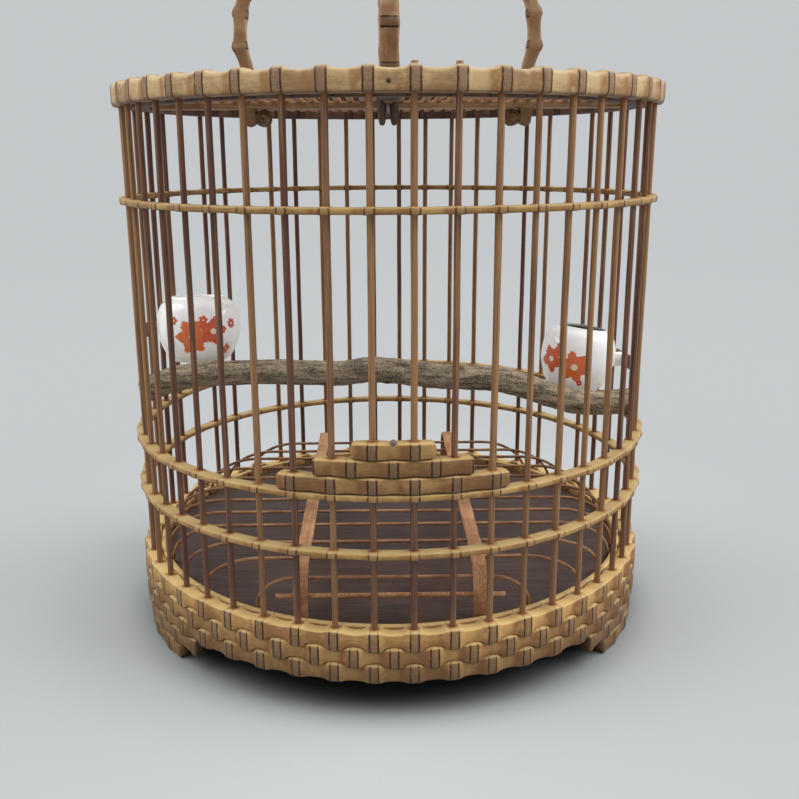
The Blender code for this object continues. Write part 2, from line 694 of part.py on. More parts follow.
def make_hook():
    """A swivelling metal hook, with one bead under the bows and one on top."""
    gap = BOW_THICKNESS + BOW_NODE_SWELL + FIT_CLEARANCE
    under_z = CROWN_Z - gap - gap / 2 - BEAD_RADIUS
    over_z = CROWN_Z + gap / 2 + BEAD_RADIUS
    ring_z = over_z + SHANK_RISE + HOOK_RADIUS
    run = bead(under_z) + bead(over_z)
    for step in range(HOOK_STEPS + 1):
        turn = math.radians(HOOK_TIP_ANGLE * step / HOOK_STEPS)
        place = Vector((HOOK_RADIUS * math.sin(turn), 0, ring_z - HOOK_RADIUS * math.cos(turn)))
        run.append((place, 1.0))
    outward = Vector((math.sin(turn), 0, -math.cos(turn)))
    run.append((place + outward * BEAD_RADIUS, HOOK_TIP_SWELL_SHARE))
    from_bmesh("hook", add_tubes("hook", [run], SHANK_RADIUS, 2), brass)


# Perch


def make_perch():
    """A branch across the cage, notched round a bar at each end and let over the middle hoop."""
    perch_bar = BAR_PITCH * (BAR_COUNT / 4 - 0.5)
    place_y = -BAR_CIRCLE_RADIUS * math.cos(math.radians(perch_bar))
    run = []
    for along, rise in PERCH_SHARES:
        place = Vector((along * PERCH_HALF_LENGTH, place_y, PERCH_LOW_Z + rise * PERCH_RISE))
        run.append((place, 1.0))
    perch = from_bmesh("perch", add_tubes("perch", [run], PERCH_RADIUS, 3), bark)
    low = PERCH_LOW_Z - PERCH_RADIUS - OVERRUN
    high = PERCH_LOW_Z + PERCH_RISE + PERCH_RADIUS + OVERRUN
    add_boolean(perch, make_drill("perch_drill", (-perch_bar, perch_bar), low, high), "DIFFERENCE")
    hoop_room = add_turned_ring(
        "hoop_room", BAR_CIRCLE_RADIUS - HOOP_INSIDE - FIT_CLEARANCE,
        BAR_CIRCLE_RADIUS + HOOP_OUTSIDE + FIT_CLEARANCE, low - OVERRUN,
        HOOP_MIDDLE_Z + HOOP_HEIGHT + FIT_CLEARANCE, BAR_COUNT,
    )
    add_boolean(perch, hoop_room, "DIFFERENCE")


# Cups


def make_cup(name, azimuth, inset, radius, height, low, tilt, lug_z):
    """A porcelain barrel with an open mouth. Its lug passes between two bars and is wider outside them."""
    inside = [(max(share * radius - CUP_WALL, 0), rise * height) for share, rise in reversed(CUP_OUTLINE_SHARES)]
    inside[0] = (inside[0][0], CUP_WALL)
    outside = [(share * radius, rise * height) for share, rise in CUP_OUTLINE_SHARES]
    profile = [(0.0, CUP_WALL)] + inside + outside + [(0.0, 0.0)]
    mesh = bpy.data.meshes.new(name)
    edges = [(index, index + 1) for index in range(len(profile) - 1)]
    mesh.from_pydata([(reach, 0, rise) for reach, rise in profile], edges, [])
    cup = add_object(name, mesh, porcelain)
    centre_radius = BAR_CIRCLE_RADIUS - inset
    sideways = Matrix.Rotation(math.radians(tilt), 4, "Y")
    backward = Matrix.Rotation(math.radians(-CUP_LEAN), 4, "X")
    cup.matrix_world = Matrix.Translation(polar(azimuth, centre_radius, low)) @ sideways @ backward
    turn = cup.modifiers.new("turn", "SCREW")
    turn.steps = CUP_STEPS
    turn.render_steps = CUP_STEPS
    turn.use_merge_vertices = True
    turn.merge_threshold = 0.00001
    neck = bmesh.new()
    neck_start = centre_radius + radius - LUG_SINK
    head_start = BAR_CIRCLE_RADIUS + BAR_RADIUS + FIT_CLEARANCE
    head_end = head_start + LUG_HEAD_THICKNESS
    low_z = lug_z - LUG_HEIGHT / 2
    high_z = lug_z + LUG_HEIGHT / 2
    add_box(neck, (-LUG_WIDTH / 2, -head_end + LUG_STEP, low_z), (LUG_WIDTH / 2, -neck_start, high_z),
            at_azimuth(azimuth))
    head = bmesh.new()
    add_box(head, (-LUG_HEAD_WIDTH / 2, -head_end, low_z - LUG_STEP),
            (LUG_HEAD_WIDTH / 2, -head_start, high_z + LUG_STEP), at_azimuth(azimuth))
    add_boolean(cup, from_bmesh(name + "_neck", neck), "UNION")
    add_boolean(cup, from_bmesh(name + "_head", head), "UNION")


# Floor grille


def bent_path(reach, other_reach, top, bottom, bend):
    """A path that goes up, across and down again with round bends, as (reach, height)."""
    path = [(reach, bottom)]
    for step in range(BEND_STEPS + 1):
        turn = math.pi / 2 * step / BEND_STEPS
        path.append((reach - bend + bend * math.cos(turn), top - bend + bend * math.sin(turn)))
    for step in range(BEND_STEPS + 1):
        turn = math.pi / 2 * (1 - step / BEND_STEPS)
        path.append((other_reach + bend - bend * math.cos(turn), top - bend + bend * math.sin(turn)))
    path.append((other_reach, bottom))
    return path


def make_floor_grille():
    """Bent wires from side to side under two slats, standing on the tray."""
    foot_z = TRAY_TOP_Z + FIT_CLEARANCE
    slat_z = GRILLE_TOP_Z - SLAT_THICKNESS / 2
    wire_z = GRILLE_TOP_Z - SLAT_THICKNESS - WIRE_RADIUS + WIRE_SINK
    slat_path = bent_path(SLAT_BACK_REACH, -SLAT_FRONT_REACH, slat_z, foot_z, SLAT_BEND_RADIUS)
    slats = bmesh.new()
    for side in (-1, 1):
        sections = strip_sections(slat_path, Vector((0, 1, 0)), SLAT_WIDTH, [SLAT_THICKNESS] * len(slat_path))
        shift = Vector((side * SLAT_OFFSET, 0, 0))
        add_loft(slats, [[point + shift for point in section] for section in sections], False)
    grille = from_bmesh("floor_grille", slats, slat_bamboo)
    runs = []
    for share in WIRE_PLACE_SHARES:
        place = share * BAR_CIRCLE_RADIUS
        reach = math.sqrt(WIRE_REACH_RADIUS ** 2 - place ** 2)
        path = bent_path(reach, -reach, wire_z, foot_z, WIRE_BEND_RADIUS)
        runs.append([(Vector((across, place, height)), 1.0) for across, height in path])
    step_inset = SLAT_BEND_RADIUS / 2 - WIRE_RADIUS
    step_place = step_inset - SLAT_FRONT_REACH
    step_drop = SLAT_BEND_RADIUS - math.sqrt(SLAT_BEND_RADIUS ** 2 - (SLAT_BEND_RADIUS - step_inset) ** 2)
    step_reach = math.sqrt(WIRE_REACH_RADIUS ** 2 - step_place ** 2)
    step_z = slat_z - step_drop - STEP_WIRE_SINK
    step_path = bent_path(step_reach, -step_reach, step_z, foot_z, WIRE_BEND_RADIUS)
    runs.append([(Vector((across, step_place, height)), 1.0) for across, height in step_path])
    bar_place = -SLAT_FRONT_REACH + SLAT_THICKNESS / 2 + BAR_WIRE_RADIUS - WIRE_SINK
    bar_z = GRILLE_TOP_Z - BAR_WIRE_DROP
    share = BAR_WIRE_RADIUS / WIRE_RADIUS
    bar_end = SLAT_EDGE + BAR_WIRE_OVERHANG
    runs.append([(Vector((side * bar_end, bar_place, bar_z)), share) for side in (-1, 1)])
    wires = from_bmesh("grille_wires", add_tubes("grille_wires", runs, WIRE_RADIUS, 1))
    add_boolean(grille, wires, "UNION")
    grille.rotation_euler.z = math.radians(GRILLE_TURN)
    wires.rotation_euler.z = math.radians(GRILLE_TURN)


make_bars()
make_base()
make_tray()
make_hoop("hoop_lower", HOOP_LOWER_Z)
make_hoop("hoop_middle", HOOP_MIDDLE_Z)
make_hoop("hoop_upper", HOOP_UPPER_Z)
make_rim()
make_sill()
make_door()
make_roof()
make_handle()
make_hook()
make_perch()
make_cup("cup_left", -CUP_AZIMUTH, LEFT_CUP_INSET, LEFT_CUP_RADIUS, LEFT_CUP_HEIGHT, LEFT_CUP_Z, 0.0,
         LEFT_CUP_Z + LEFT_CUP_HEIGHT / 2)
make_cup("cup_right", CUP_AZIMUTH, RIGHT_CUP_INSET, RIGHT_CUP_RADIUS, RIGHT_CUP_HEIGHT, RIGHT_CUP_Z,
         RIGHT_CUP_TILT, RIGHT_CUP_Z + RIGHT_LUG_RISE)
make_floor_grille()
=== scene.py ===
"""Dressed scene of a round bamboo bird cage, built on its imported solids."""

import math
import random

import bmesh
import bpy
from mathutils import Matrix, Vector, noise


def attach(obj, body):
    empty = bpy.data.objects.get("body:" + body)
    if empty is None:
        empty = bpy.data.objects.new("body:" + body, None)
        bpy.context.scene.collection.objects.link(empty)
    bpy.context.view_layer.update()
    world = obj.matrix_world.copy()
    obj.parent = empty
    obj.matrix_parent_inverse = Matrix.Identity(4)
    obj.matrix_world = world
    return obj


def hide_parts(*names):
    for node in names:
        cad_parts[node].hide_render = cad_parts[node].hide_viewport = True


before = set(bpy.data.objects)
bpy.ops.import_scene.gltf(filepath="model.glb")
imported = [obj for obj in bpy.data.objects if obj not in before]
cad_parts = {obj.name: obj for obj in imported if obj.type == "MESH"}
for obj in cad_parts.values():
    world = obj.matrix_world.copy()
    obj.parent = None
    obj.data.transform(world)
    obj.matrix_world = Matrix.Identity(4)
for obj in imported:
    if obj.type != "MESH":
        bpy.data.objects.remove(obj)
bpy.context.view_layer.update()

# Studio
# A pale matt table that fades into the backdrop, under a soft sky and two broad lamps, one from each
# side. The camera stands where the photograph was taken.


def math_step(kind, swapped=False):
    """An operator of two terms that adds a Math node."""
    def step(self, other):
        return self.recipe.math(kind, *((other, self) if swapped else (self, other)))
    return step


class Wire:
    """A socket of a node tree that takes part in sums."""

    def __init__(self, recipe, socket):
        self.recipe = recipe
        self.socket = socket

    def __getitem__(self, name):
        """Another output of the same node."""
        return Wire(self.recipe, self.socket.node.outputs[name])

    def sum(self, kind, *terms):
        """A Math node on this and more terms."""
        return self.recipe.math(kind, self, *terms)

    __add__ = math_step("ADD")
    __radd__ = math_step("ADD", True)
    __sub__ = math_step("SUBTRACT")
    __rsub__ = math_step("SUBTRACT", True)
    __mul__ = math_step("MULTIPLY")
    __truediv__ = math_step("DIVIDE")
    __rtruediv__ = math_step("DIVIDE", True)
    __pow__ = math_step("POWER")
    least = math_step("MINIMUM")
    most = math_step("MAXIMUM")

    def __abs__(self):
        return self.sum("ABSOLUTE")


def spaced(values):
    """Keywords as the names of sockets."""
    return {name.replace("_", " "): value for name, value in values.items()}


class Recipe:
    """A node tree that grows by one method."""

    def __init__(self, tree):
        self.tree = tree

    def add(self, kind, settings=(), inputs=(), output=0):
        """Any node: its type, its settings, then the values or links of its sockets."""
        node = self.tree.nodes.new(kind)
        for name, value in dict(settings).items():
            if name == "stops":
                while len(node.color_ramp.elements) < len(value):
                    node.color_ramp.elements.new(0.5)
                for element, (place, colour) in zip(node.color_ramp.elements, value):
                    element.position = place
                    element.color = (*colour, 1.0)
            else:
                setattr(node, name, value)
        for name, value in dict(inputs).items():
            socket = node.inputs[name]
            if isinstance(value, Wire):
                self.tree.links.new(value.socket, socket)
            elif socket.type == "RGBA":
                socket.default_value = (*value, 1.0)
            else:
                socket.default_value = value
        return Wire(self, node.outputs[output]) if node.outputs else node

    def math(self, kind, *terms):
        """A Math node."""
        return self.add("ShaderNodeMath", {"operation": kind}, dict(enumerate(terms)))

    def shape(self, kind, **inputs):
        """A geometry node with inputs by name."""
        return self.add("GeometryNode" + kind, (), spaced(inputs))

    def ramp(self, value, low, high):
        """0 below low and 1 above high, with a smooth step between."""
        return self.add("ShaderNodeMapRange", {"interpolation_type": "SMOOTHSTEP"},
                        {"Value": value, "From Min": low, "From Max": high})

    def mix(self, share, first, second):
        """The first colour where the share is 0 and the second where it is 1."""
        return self.add("ShaderNodeMix", {"data_type": "RGBA"}, {0: share, 6: first, 7: second}, 2)

    def layers(self, share, first, second, *layers):
        """A mixed colour with others laid over it, each as (share, colour)."""
        colour = self.mix(share, first, second)
        for share, shade in layers:
            colour = self.mix(share, colour, shade)
        return colour

    def vector(self, x, y, z):
        return self.add("ShaderNodeCombineXYZ", (), {0: x, 1: y, 2: z})

    def here(self):
        """The point on the piece."""
        return self.add("ShaderNodeTexCoord", (), (), "Object")

    def cloud(self, scale, detail=2.0, rough=0.5, place=None):
        """Soft noise round 0.5, over the point on the piece or over another vector."""
        return self.add("ShaderNodeTexNoise", (), {"Vector": place or self.here(), "Scale": scale,
                                                   "Detail": detail, "Roughness": rough})

    def spots(self, scale):
        """How far the nearest of many scattered spots is."""
        return self.add("ShaderNodeTexVoronoi", (), {"Vector": self.here(), "Scale": scale}, "Distance")

    def attribute(self, name):
        return self.add("ShaderNodeAttribute", {"attribute_name": name}, (), "Fac")

    def parts(self, vector=None):
        """The three parts of the point on the piece or of another vector."""
        across = self.add("ShaderNodeSeparateXYZ", (), {0: vector or self.here()})
        return across, across["Y"], across["Z"]

    def upward(self):
        """How far the surface faces upward, from -1 to 1."""
        return self.parts(self.add("ShaderNodeTexCoord", (), (), "Normal"))[2]

    def surface(self, colour, roughness, height, relief, **fixed):
        """The shader and the output. Height is a field of bumps, and relief its depth in metres."""
        bumps = self.add("ShaderNodeBump", (), {"Height": height, "Distance": relief})
        inputs = {"Base Color": colour, "Roughness": roughness, "Normal": bumps, **spaced(fixed)}
        shader = self.add("ShaderNodeBsdfPrincipled", (), inputs)
        self.add("ShaderNodeOutputMaterial", (), {"Surface": shader})


def placed(name, data):
    """A new object in the scene."""
    made = bpy.data.objects.new(name, data)
    bpy.context.scene.collection.objects.link(made)
    return made


def new_finish(name):
    """An empty material and its recipe."""
    made = bpy.data.materials.new(name)
    made.use_nodes = True
    made.node_tree.nodes.clear()
    return made, Recipe(made.node_tree)


BACKDROP = (0.560, 0.578, 0.590)
TABLE_RADIUS = 6.0
TABLE_SIDES = 64

table_finish, recipe = new_finish("matt_table")
x, y, z = recipe.parts()
reach = (x * x + y * y) ** 0.5
paper = recipe.cloud(900.0, 3.0)
tint = recipe.mix(paper, (0.386, 0.404, 0.408), (0.434, 0.452, 0.457))
# Painted contact shadow: the table is darkened under and just round the base.
tint = recipe.mix(recipe.ramp(reach, 0.130, 0.182), (0.085, 0.090, 0.093), tint)
matt = recipe.add("ShaderNodeBsdfDiffuse", (), {"Color": tint})
far = recipe.add("ShaderNodeEmission", (), {"Color": BACKDROP, "Strength": 1.0})
share = recipe.ramp(reach, 0.14, 0.42) * 0.85 + recipe.ramp(reach, 0.8, 2.5) * 0.15
blend = recipe.add("ShaderNodeMixShader", (), {0: share, 1: matt, 2: far})
recipe.add("ShaderNodeOutputMaterial", (), {"Surface": blend})

table_mesh = bpy.data.meshes.new("table")
turns = [math.tau * side / TABLE_SIDES for side in range(TABLE_SIDES)]
corners = [(TABLE_RADIUS * math.cos(turn), TABLE_RADIUS * math.sin(turn), 0.0) for turn in turns]
table_mesh.from_pydata(corners, [], [list(range(TABLE_SIDES))])
table_mesh.materials.append(table_finish)
placed("table", table_mesh)

world = bpy.data.worlds.new("sky")
world.use_nodes = True
world.node_tree.nodes.clear()
sky = Recipe(world.node_tree)
ray = sky.add("ShaderNodeLightPath", (), (), "Is Camera Ray")
seen = ray.most(ray["Is Glossy Ray"]).most(ray["Is Transmission Ray"])
x, y, z = sky.parts(sky.add("ShaderNodeTexCoord", (), (), "Generated"))
glow = sky.mix(sky.ramp(z, 0.15, 0.9), (0.225, 0.23, 0.235), (0.88, 0.89, 0.90))
lit = sky.add("ShaderNodeBackground", (), {"Color": glow, "Strength": 1.0})
shown = sky.add("ShaderNodeBackground", (), {"Color": BACKDROP, "Strength": 1.0})
both = sky.add("ShaderNodeMixShader", (), {0: seen, 1: lit, 2: shown})
sky.add("ShaderNodeOutputWorld", (), {"Surface": both})
bpy.context.scene.world = world

LAMP_SPREAD = math.radians(50)
for name, strength, turn in (("key", 2.60, (46, 0, 88)), ("fill", 1.85, (43, 0, -92))):
    lamp = placed(name, bpy.data.lights.new(name, "SUN"))
    lamp.data.energy = strength
    lamp.data.angle = LAMP_SPREAD
    lamp.rotation_euler = [math.radians(value) for value in turn]

CAMERA_AZIMUTH = math.radians(-0.65)
CAMERA_DISTANCE = 0.5889
CAMERA_HEIGHT = 0.2823
CAMERA_PITCH = math.radians(14.67)
CAMERA_ROLL = -0.0055
camera = placed("camera", bpy.data.cameras.new("camera"))
camera.data.lens = 42.29
camera.data.sensor_width = 36.0
camera.data.shift_x = 0.0126
camera.data.clip_start = 0.01
camera.location = (CAMERA_DISTANCE * math.sin(CAMERA_AZIMUTH), -CAMERA_DISTANCE * math.cos(CAMERA_AZIMUTH),
                   CAMERA_HEIGHT)
aim = Matrix.Rotation(CAMERA_AZIMUTH, 3, "Z") @ Matrix.Rotation(math.pi / 2 - CAMERA_PITCH, 3, "X")
camera.rotation_euler = (aim @ Matrix.Rotation(CAMERA_ROLL, 3, "Z")).to_euler()
bpy.context.scene.camera = camera
bpy.context.scene.view_settings.view_transform = "Standard"

# Base
# Rows of split bamboo bent to a ring and pegged on top of each other like bricks, each node over the
# waist of the row below. Inside it a thinner liner and a ledge for the tray, below it three stepped feet.


def new_tree(name, sizes, whole_sizes=()):
    """A geometry tree with named inputs for its sizes."""
    tree = bpy.data.node_groups.new(name, "GeometryNodeTree")
    tree.interface.new_socket("Geometry", in_out="OUTPUT", socket_type="NodeSocketGeometry")
    for size in sizes:
        tree.interface.new_socket(size, in_out="INPUT", socket_type="NodeSocketFloat")
    for size in whole_sizes:
        tree.interface.new_socket(size, in_out="INPUT", socket_type="NodeSocketInt")
    tree.interface.new_socket("Finish", in_out="INPUT", socket_type="NodeSocketMaterial")
    recipe = Recipe(tree)
    return tree, recipe, recipe.add("NodeGroupInput", (), (), "Finish")


def end_tree(recipe, geometry, finish):
    """Realized, with its finish, and out."""
    real = recipe.shape("RealizeInstances", Geometry=geometry)
    done = recipe.shape("SetMaterial", Geometry=real, Material=finish)
    recipe.add("NodeGroupOutput", (), {"Geometry": done})


def store(recipe, geometry, name, value, domain="POINT"):
    """The geometry with a number kept on its points or its copies."""
    return recipe.add("GeometryNodeStoreNamedAttribute", {"data_type": "FLOAT", "domain": domain},
                      {"Geometry": geometry, "Name": name, "Value": value})


def chance(recipe, low, high, seed, **more):
    """A random number for each copy."""
    draw = recipe.add("FunctionNodeRandomValue", {"data_type": "FLOAT"}, {"Seed": seed, **more}).socket.node
    limits = [socket for socket in draw.inputs if socket.type == "VALUE"]
    limits[0].default_value = low
    limits[1].default_value = high
    return Wire(recipe, [socket for socket in draw.outputs if socket.type == "VALUE"][0])


def grow(tree, finish, **sizes):
    """A plain mesh from a geometry tree. Each input is set by its identifier."""
    sizes = spaced(sizes) | {"Finish": finish}
    seed = placed("seed", bpy.data.meshes.new("seed"))
    grower = seed.modifiers.new("grow", "NODES")
    grower.node_group = tree
    for item in tree.interface.items_tree:
        if item.in_out == "INPUT":
            grower[item.identifier] = sizes.pop(item.name)
    assert not sizes, sizes
    graph = bpy.context.evaluated_depsgraph_get()
    mesh = bpy.data.meshes.new_from_object(seed.evaluated_get(graph), preserve_all_data_layers=True,
                                           depsgraph=graph)
    seed.modifiers.remove(grower)
    bpy.data.objects.remove(seed)
    shape = bmesh.new()
    shape.from_mesh(mesh)
    bmesh.ops.recalc_face_normals(shape, faces=shape.faces)
    shape.to_mesh(mesh)
    shape.free()
    mesh.shade_smooth()
    return mesh


def piece(name, meshes, body, slot, *replaced):
    """One finished piece out of its meshes, on its body and in place of the solids it stands for."""
    finishes = []
    shape = bmesh.new()
    for mesh in meshes:
        known = len(shape.faces)
        shape.from_mesh(mesh)
        shape.faces.ensure_lookup_table()
        for face in shape.faces[known:]:
            finish = mesh.materials[face.material_index]
            if finish not in finishes:
                finishes.append(finish)
            face.material_index = finishes.index(finish)
    whole = bpy.data.meshes.new(name)
    shape.to_mesh(whole)
    shape.free()
    for finish in finishes:
        whole.materials.append(finish)
    made = placed(name, whole)
    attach(made, body)
    if replaced:
        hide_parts(*replaced)


BAR_CIRCLE = 0.1543
BAR_PITCH = 7.5
DEGREE = math.pi / 180

# The strip is a grid whose long side runs round the axis and whose short side runs round the section
strip_tree, recipe, given = new_tree(
    "bamboo_strip",
    ("Radius", "Bottom", "Width", "Height", "Start", "End", "Station", "Node Length", "Node Rise", "Node Out",
     "Waist Length", "Waist Sink", "Waist In", "Foot Share", "Boxiness", "End Round", "Roughness", "Seed"),
    ("Steps", "Sides"),
)
grid = recipe.shape("MeshGrid", Size_X=1.0, Size_Y=1.0,
                    Vertices_X=given["Steps"] + 1.0, Vertices_Y=given["Sides"] + 1.0)
along, turn, flat = recipe.parts(recipe.shape("InputPosition"))
share = along + 0.5
section = turn * math.tau
span = given["End"] - given["Start"]
azimuth = given["Start"] + span * share
metres = given["Radius"] * DEGREE
phase = (azimuth - given["Station"]) / BAR_PITCH + 0.5
whole_phase = phase.sum("FLOOR")
half_pitch = metres * BAR_PITCH
lean = (phase - whole_phase - 0.5) * half_pitch
gap = abs(lean)
waist_gap = half_pitch * 0.5 - gap
swell = (((gap / given["Node Length"]) ** 6.0) * -1.0).sum("EXPONENT")
dip = (((waist_gap / given["Waist Length"]) ** 2.0) * -1.0).sum("EXPONENT")
edge = (share.least(1.0 - share) * span * metres / given["End Round"].most(0.000001)).least(1.0)
closed = given["End Round"].sum("LESS_THAN", 0.0)
fade = ((1.0 - (1.0 - edge) ** 2.0).most(0.0) ** 0.5).most(closed)
wide = section.sum("COSINE")
tall = section.sum("SINE")
sharpness = 2.0 / given["Boxiness"]
face = wide.sum("SIGN") * abs(wide) ** sharpness
across = tall.sum("SIGN") * abs(tall) ** sharpness
swollen = given["Node Out"] * swell - given["Waist In"] * dip
reach = given["Radius"] + fade * (face * given["Width"] * 0.5 + face.most(0.0) * swollen)
above = across.sum("GREATER_THAN", 0.0)
half_height = given["Height"] * 0.5 + (given["Node Rise"] * swell - given["Waist Sink"] * dip) * (
    above + (1.0 - above) * given["Foot Share"])
height = given["Bottom"] + given["Height"] * 0.5 + fade * across * half_height
angle = azimuth * DEGREE
bar_phase = azimuth / BAR_PITCH
bar_gap = (bar_phase - bar_phase.sum("FLOOR") - 0.5) * half_pitch
off_circle = reach - BAR_CIRCLE
cell = (phase + 0.5).sum("FLOOR")
tone = chance(recipe, 0.0, 1.0, given["Seed"], ID=cell.sum("FLOORED_MODULO", 360 / BAR_PITCH))
geometry = grid
for name, value in (("lean", lean), ("gap", gap), ("tone", tone), ("across", across),
                    ("socket", (bar_gap * bar_gap + off_circle * off_circle) ** 0.5)):
    geometry = store(recipe, geometry, name, value)
spot = recipe.vector(reach * angle.sum("SINE"), reach * angle.sum("COSINE") * -1.0, height)
geometry = recipe.shape("SetPosition", Geometry=geometry, Position=spot)
geometry = recipe.shape("MergeByDistance", Geometry=geometry, Distance=0.00002)
uneven = recipe.cloud(160.0, place=recipe.shape("InputPosition")) - 0.5
lift = recipe.add("ShaderNodeVectorMath", {"operation": "SCALE"},
                  {0: recipe.shape("InputNormal"), "Scale": uneven * given["Roughness"]})
geometry = recipe.shape("SetPosition", Geometry=geometry, Offset=lift)
end_tree(recipe, geometry, given)


def strip(finish, radius, bottom, width, height, detail=16, **changes):
    """A bent bamboo strip. Without a start and an end it is a closed ring, and its end round is below 0."""
    sizes = dict(Start=-180.0, End=180.0, Station=BAR_PITCH / 2, Node_Length=0.003, Node_Rise=0.0,
                 Node_Out=0.0003, Waist_Length=0.006, Waist_Sink=0.0, Waist_In=0.0, Foot_Share=1.0,
                 Boxiness=6.0, End_Round=-1.0, Roughness=0.0003, Seed=1.0, Sides=20)
    sizes.update(changes)
    sizes["Steps"] = round((sizes["End"] - sizes["Start"]) / BAR_PITCH * detail)
    return grow(strip_tree, finish, Radius=radius, Bottom=bottom, Width=width, Height=height, **sizes)


def bamboo_finish(name, pale, deep, patch, band, line, line_gap, top, ring=True, painted_low_shade=False):
    """Split bamboo: fibres along the strip, a stippled band at each node between two red-brown lines,
    orange-brown patches beside it, partly painted shade on one side, a scraped pale top that also carries
    a painted highlight, painted shade in the joints and on faces that look down, and if asked painted
    shade towards the foot. A bow's sides are bare."""
    made, recipe = new_finish(name)
    x, y, z = recipe.parts()
    upward = recipe.upward()
    across = recipe.attribute("across")
    if ring:
        radius = (x * x + y * y) ** 0.5
        run = x.sum("ARCTAN2", y * -1.0) * BAR_CIRCLE
        fibre_place = recipe.vector(run * 55.0, z * 900.0, radius * 900.0)
        skinned = 1.0
        stained = (1.0 - recipe.ramp(recipe.attribute("socket"), 0.0022, 0.0040)) * abs(upward)
    else:
        face = recipe.attribute("face")
        fibre_place = recipe.vector(recipe.attribute("run") * 55.0, face * 5.0, across * 5.0)
        skinned = recipe.ramp(abs(face), 0.72, 0.84)
        stained = 0.0
    fibre = recipe.cloud(1.0, 3.0, 0.6, fibre_place)
    broad = recipe.cloud(55.0, 3.0, 0.55)
    fine = recipe.cloud(1500.0, 2.0, 0.6)
    blotch = recipe.cloud(240.0, 3.0, 0.6)
    tone = recipe.attribute("tone")
    gap = recipe.attribute("gap") + (recipe.cloud(420.0, 1.0) - 0.5) * 0.0006
    # The side of each node where painted shade is laid.
    left = recipe.ramp(recipe.attribute("lean"), 0.0003, -0.0003)
    before = (1.0 - recipe.ramp(abs(gap - 0.0046), 0.0016, 0.0050)) * left
    patchy = recipe.ramp(recipe.cloud(130.0, 3.0, 0.6) + tone * 0.15, 0.36, 0.66)
    half = line_gap / 2
    banded = (1.0 - recipe.ramp(gap, half - 0.0002, half + 0.0002)) * skinned
    ruled = (1.0 - recipe.ramp(abs(gap - half), 0.00025, 0.00060)) * skinned
    stipple = recipe.ramp(fine + fibre * 0.3, 0.50, 0.95)
    worn = recipe.ramp(recipe.cloud(260.0), 0.25, 0.45)
    # Upward faces take the top colour: partly the pale scraped cut, partly a painted highlight.
    cut_top_and_highlight = recipe.ramp(upward, 0.35, 0.8)
    colour = recipe.layers(
        # The across term paints the strip a little paler towards one edge (a ring's upper edge): painted
        # shading.
        recipe.ramp(fibre * 0.6 + broad * 0.7 + blotch * 0.8 + tone * 0.5 + across * 0.12, 0.95, 1.62),
        deep, pale,
        # Orange-brown patches, partly the bamboo's own and partly painted shade laid mostly on one side of
        # each node.
        (patchy * (before * 0.75 + 0.15), patch),
        (recipe.ramp(fine, 0.58, 0.72) * 0.35, deep),
        ((1.0 - skinned) * 0.28, deep),
        (banded * 0.85, recipe.mix(stipple * 0.4, band, pale)),
        (cut_top_and_highlight * (0.45 + broad * 0.6), top),
        (ruled * (worn * 0.4 + 0.6) * (1.0 - cut_top_and_highlight * 0.75), line),
        (stained * 0.85, (0.30, 0.105, 0.025)),
        # Painted shade in the joints, along the strip's upper and lower edges.
        (recipe.ramp(abs(across), 0.90, 1.0) * (1.0 - cut_top_and_highlight) * 0.15, (0.10, 0.050, 0.022)),
        # Painted shade on faces that look down.
        (recipe.ramp(upward * -1.0, 0.3, 0.9) * 0.5, (0.07, 0.036, 0.018)),
        # Painted shade, if asked: darker towards the foot of the base.
        (0.62 - recipe.ramp(z, 0.012, 0.048) * 0.62 if painted_low_shade else 0.0, (0.075, 0.038, 0.018)),
    )
    bumps = fibre * 0.5 + fine * 0.3 + banded * 0.25 - ruled
    recipe.surface(colour, 0.46 + fine * 0.16 + stipple * banded * 0.1, bumps, 0.00025, Coat_Weight=0.06,
                   Coat_Roughness=0.25, Specular_IOR_Level=0.3)
    return made


RED_BROWN = (0.040, 0.012, 0.007)
row_finish = bamboo_finish("base_bamboo", (0.60, 0.36, 0.125), (0.33, 0.165, 0.055), (0.30, 0.125, 0.045),
                           (0.20, 0.120, 0.062), RED_BROWN, 0.0042, (0.66, 0.47, 0.19), painted_low_shade=True)
seam_finish = bamboo_finish("seam_bamboo", (0.30, 0.125, 0.040), (0.20, 0.075, 0.024), (0.20, 0.075, 0.024),
                            (0.20, 0.075, 0.024), (0.20, 0.075, 0.024), 0.0042, (0.32, 0.135, 0.045))
ROW_PITCH = 0.0092
BASE_TOP = 0.046
LINER_LOW = 0.0187
FOOT_ROW = 0.0090
FOOT_LOW = 0.0003
rows = []
ROW = dict(Node_Length=0.0047, Node_Rise=0.0012, Node_Out=0.0012, Waist_Length=0.0054, Waist_Sink=0.0010,
           Waist_In=0.0010, Boxiness=8.0)
FOOT = dict(Node_Rise=0.0006, Node_Out=0.0006, Waist_Length=0.0040, Waist_Sink=0.0006, Waist_In=0.0003,
            End_Round=0.0014)
for row in range(3):
    rows.append(strip(row_finish, BAR_CIRCLE, BASE_TOP - (row + 1) * ROW_PITCH, 0.0084, ROW_PITCH,
                      Station=BAR_PITCH / 2 * (1 - row % 2), Foot_Share=(1.0, 1.0, 0.15)[row],
                      Seed=11.0 + row, **ROW))
for finish, radius, width, height, rough, seed in (
    (row_finish, 0.1474, 0.0044, 0.0271, 0.0002, 21.0), (seam_finish, 0.1499, 0.0010, 0.0266, 0.0001, 23.0),
    (row_finish, 0.1438, 0.0036, 0.0195, 0.0001, 22.0),
):
    rows.append(strip(finish, radius, LINER_LOW, width, height, 6, Node_Out=0.0, Roughness=rough, Seed=seed))
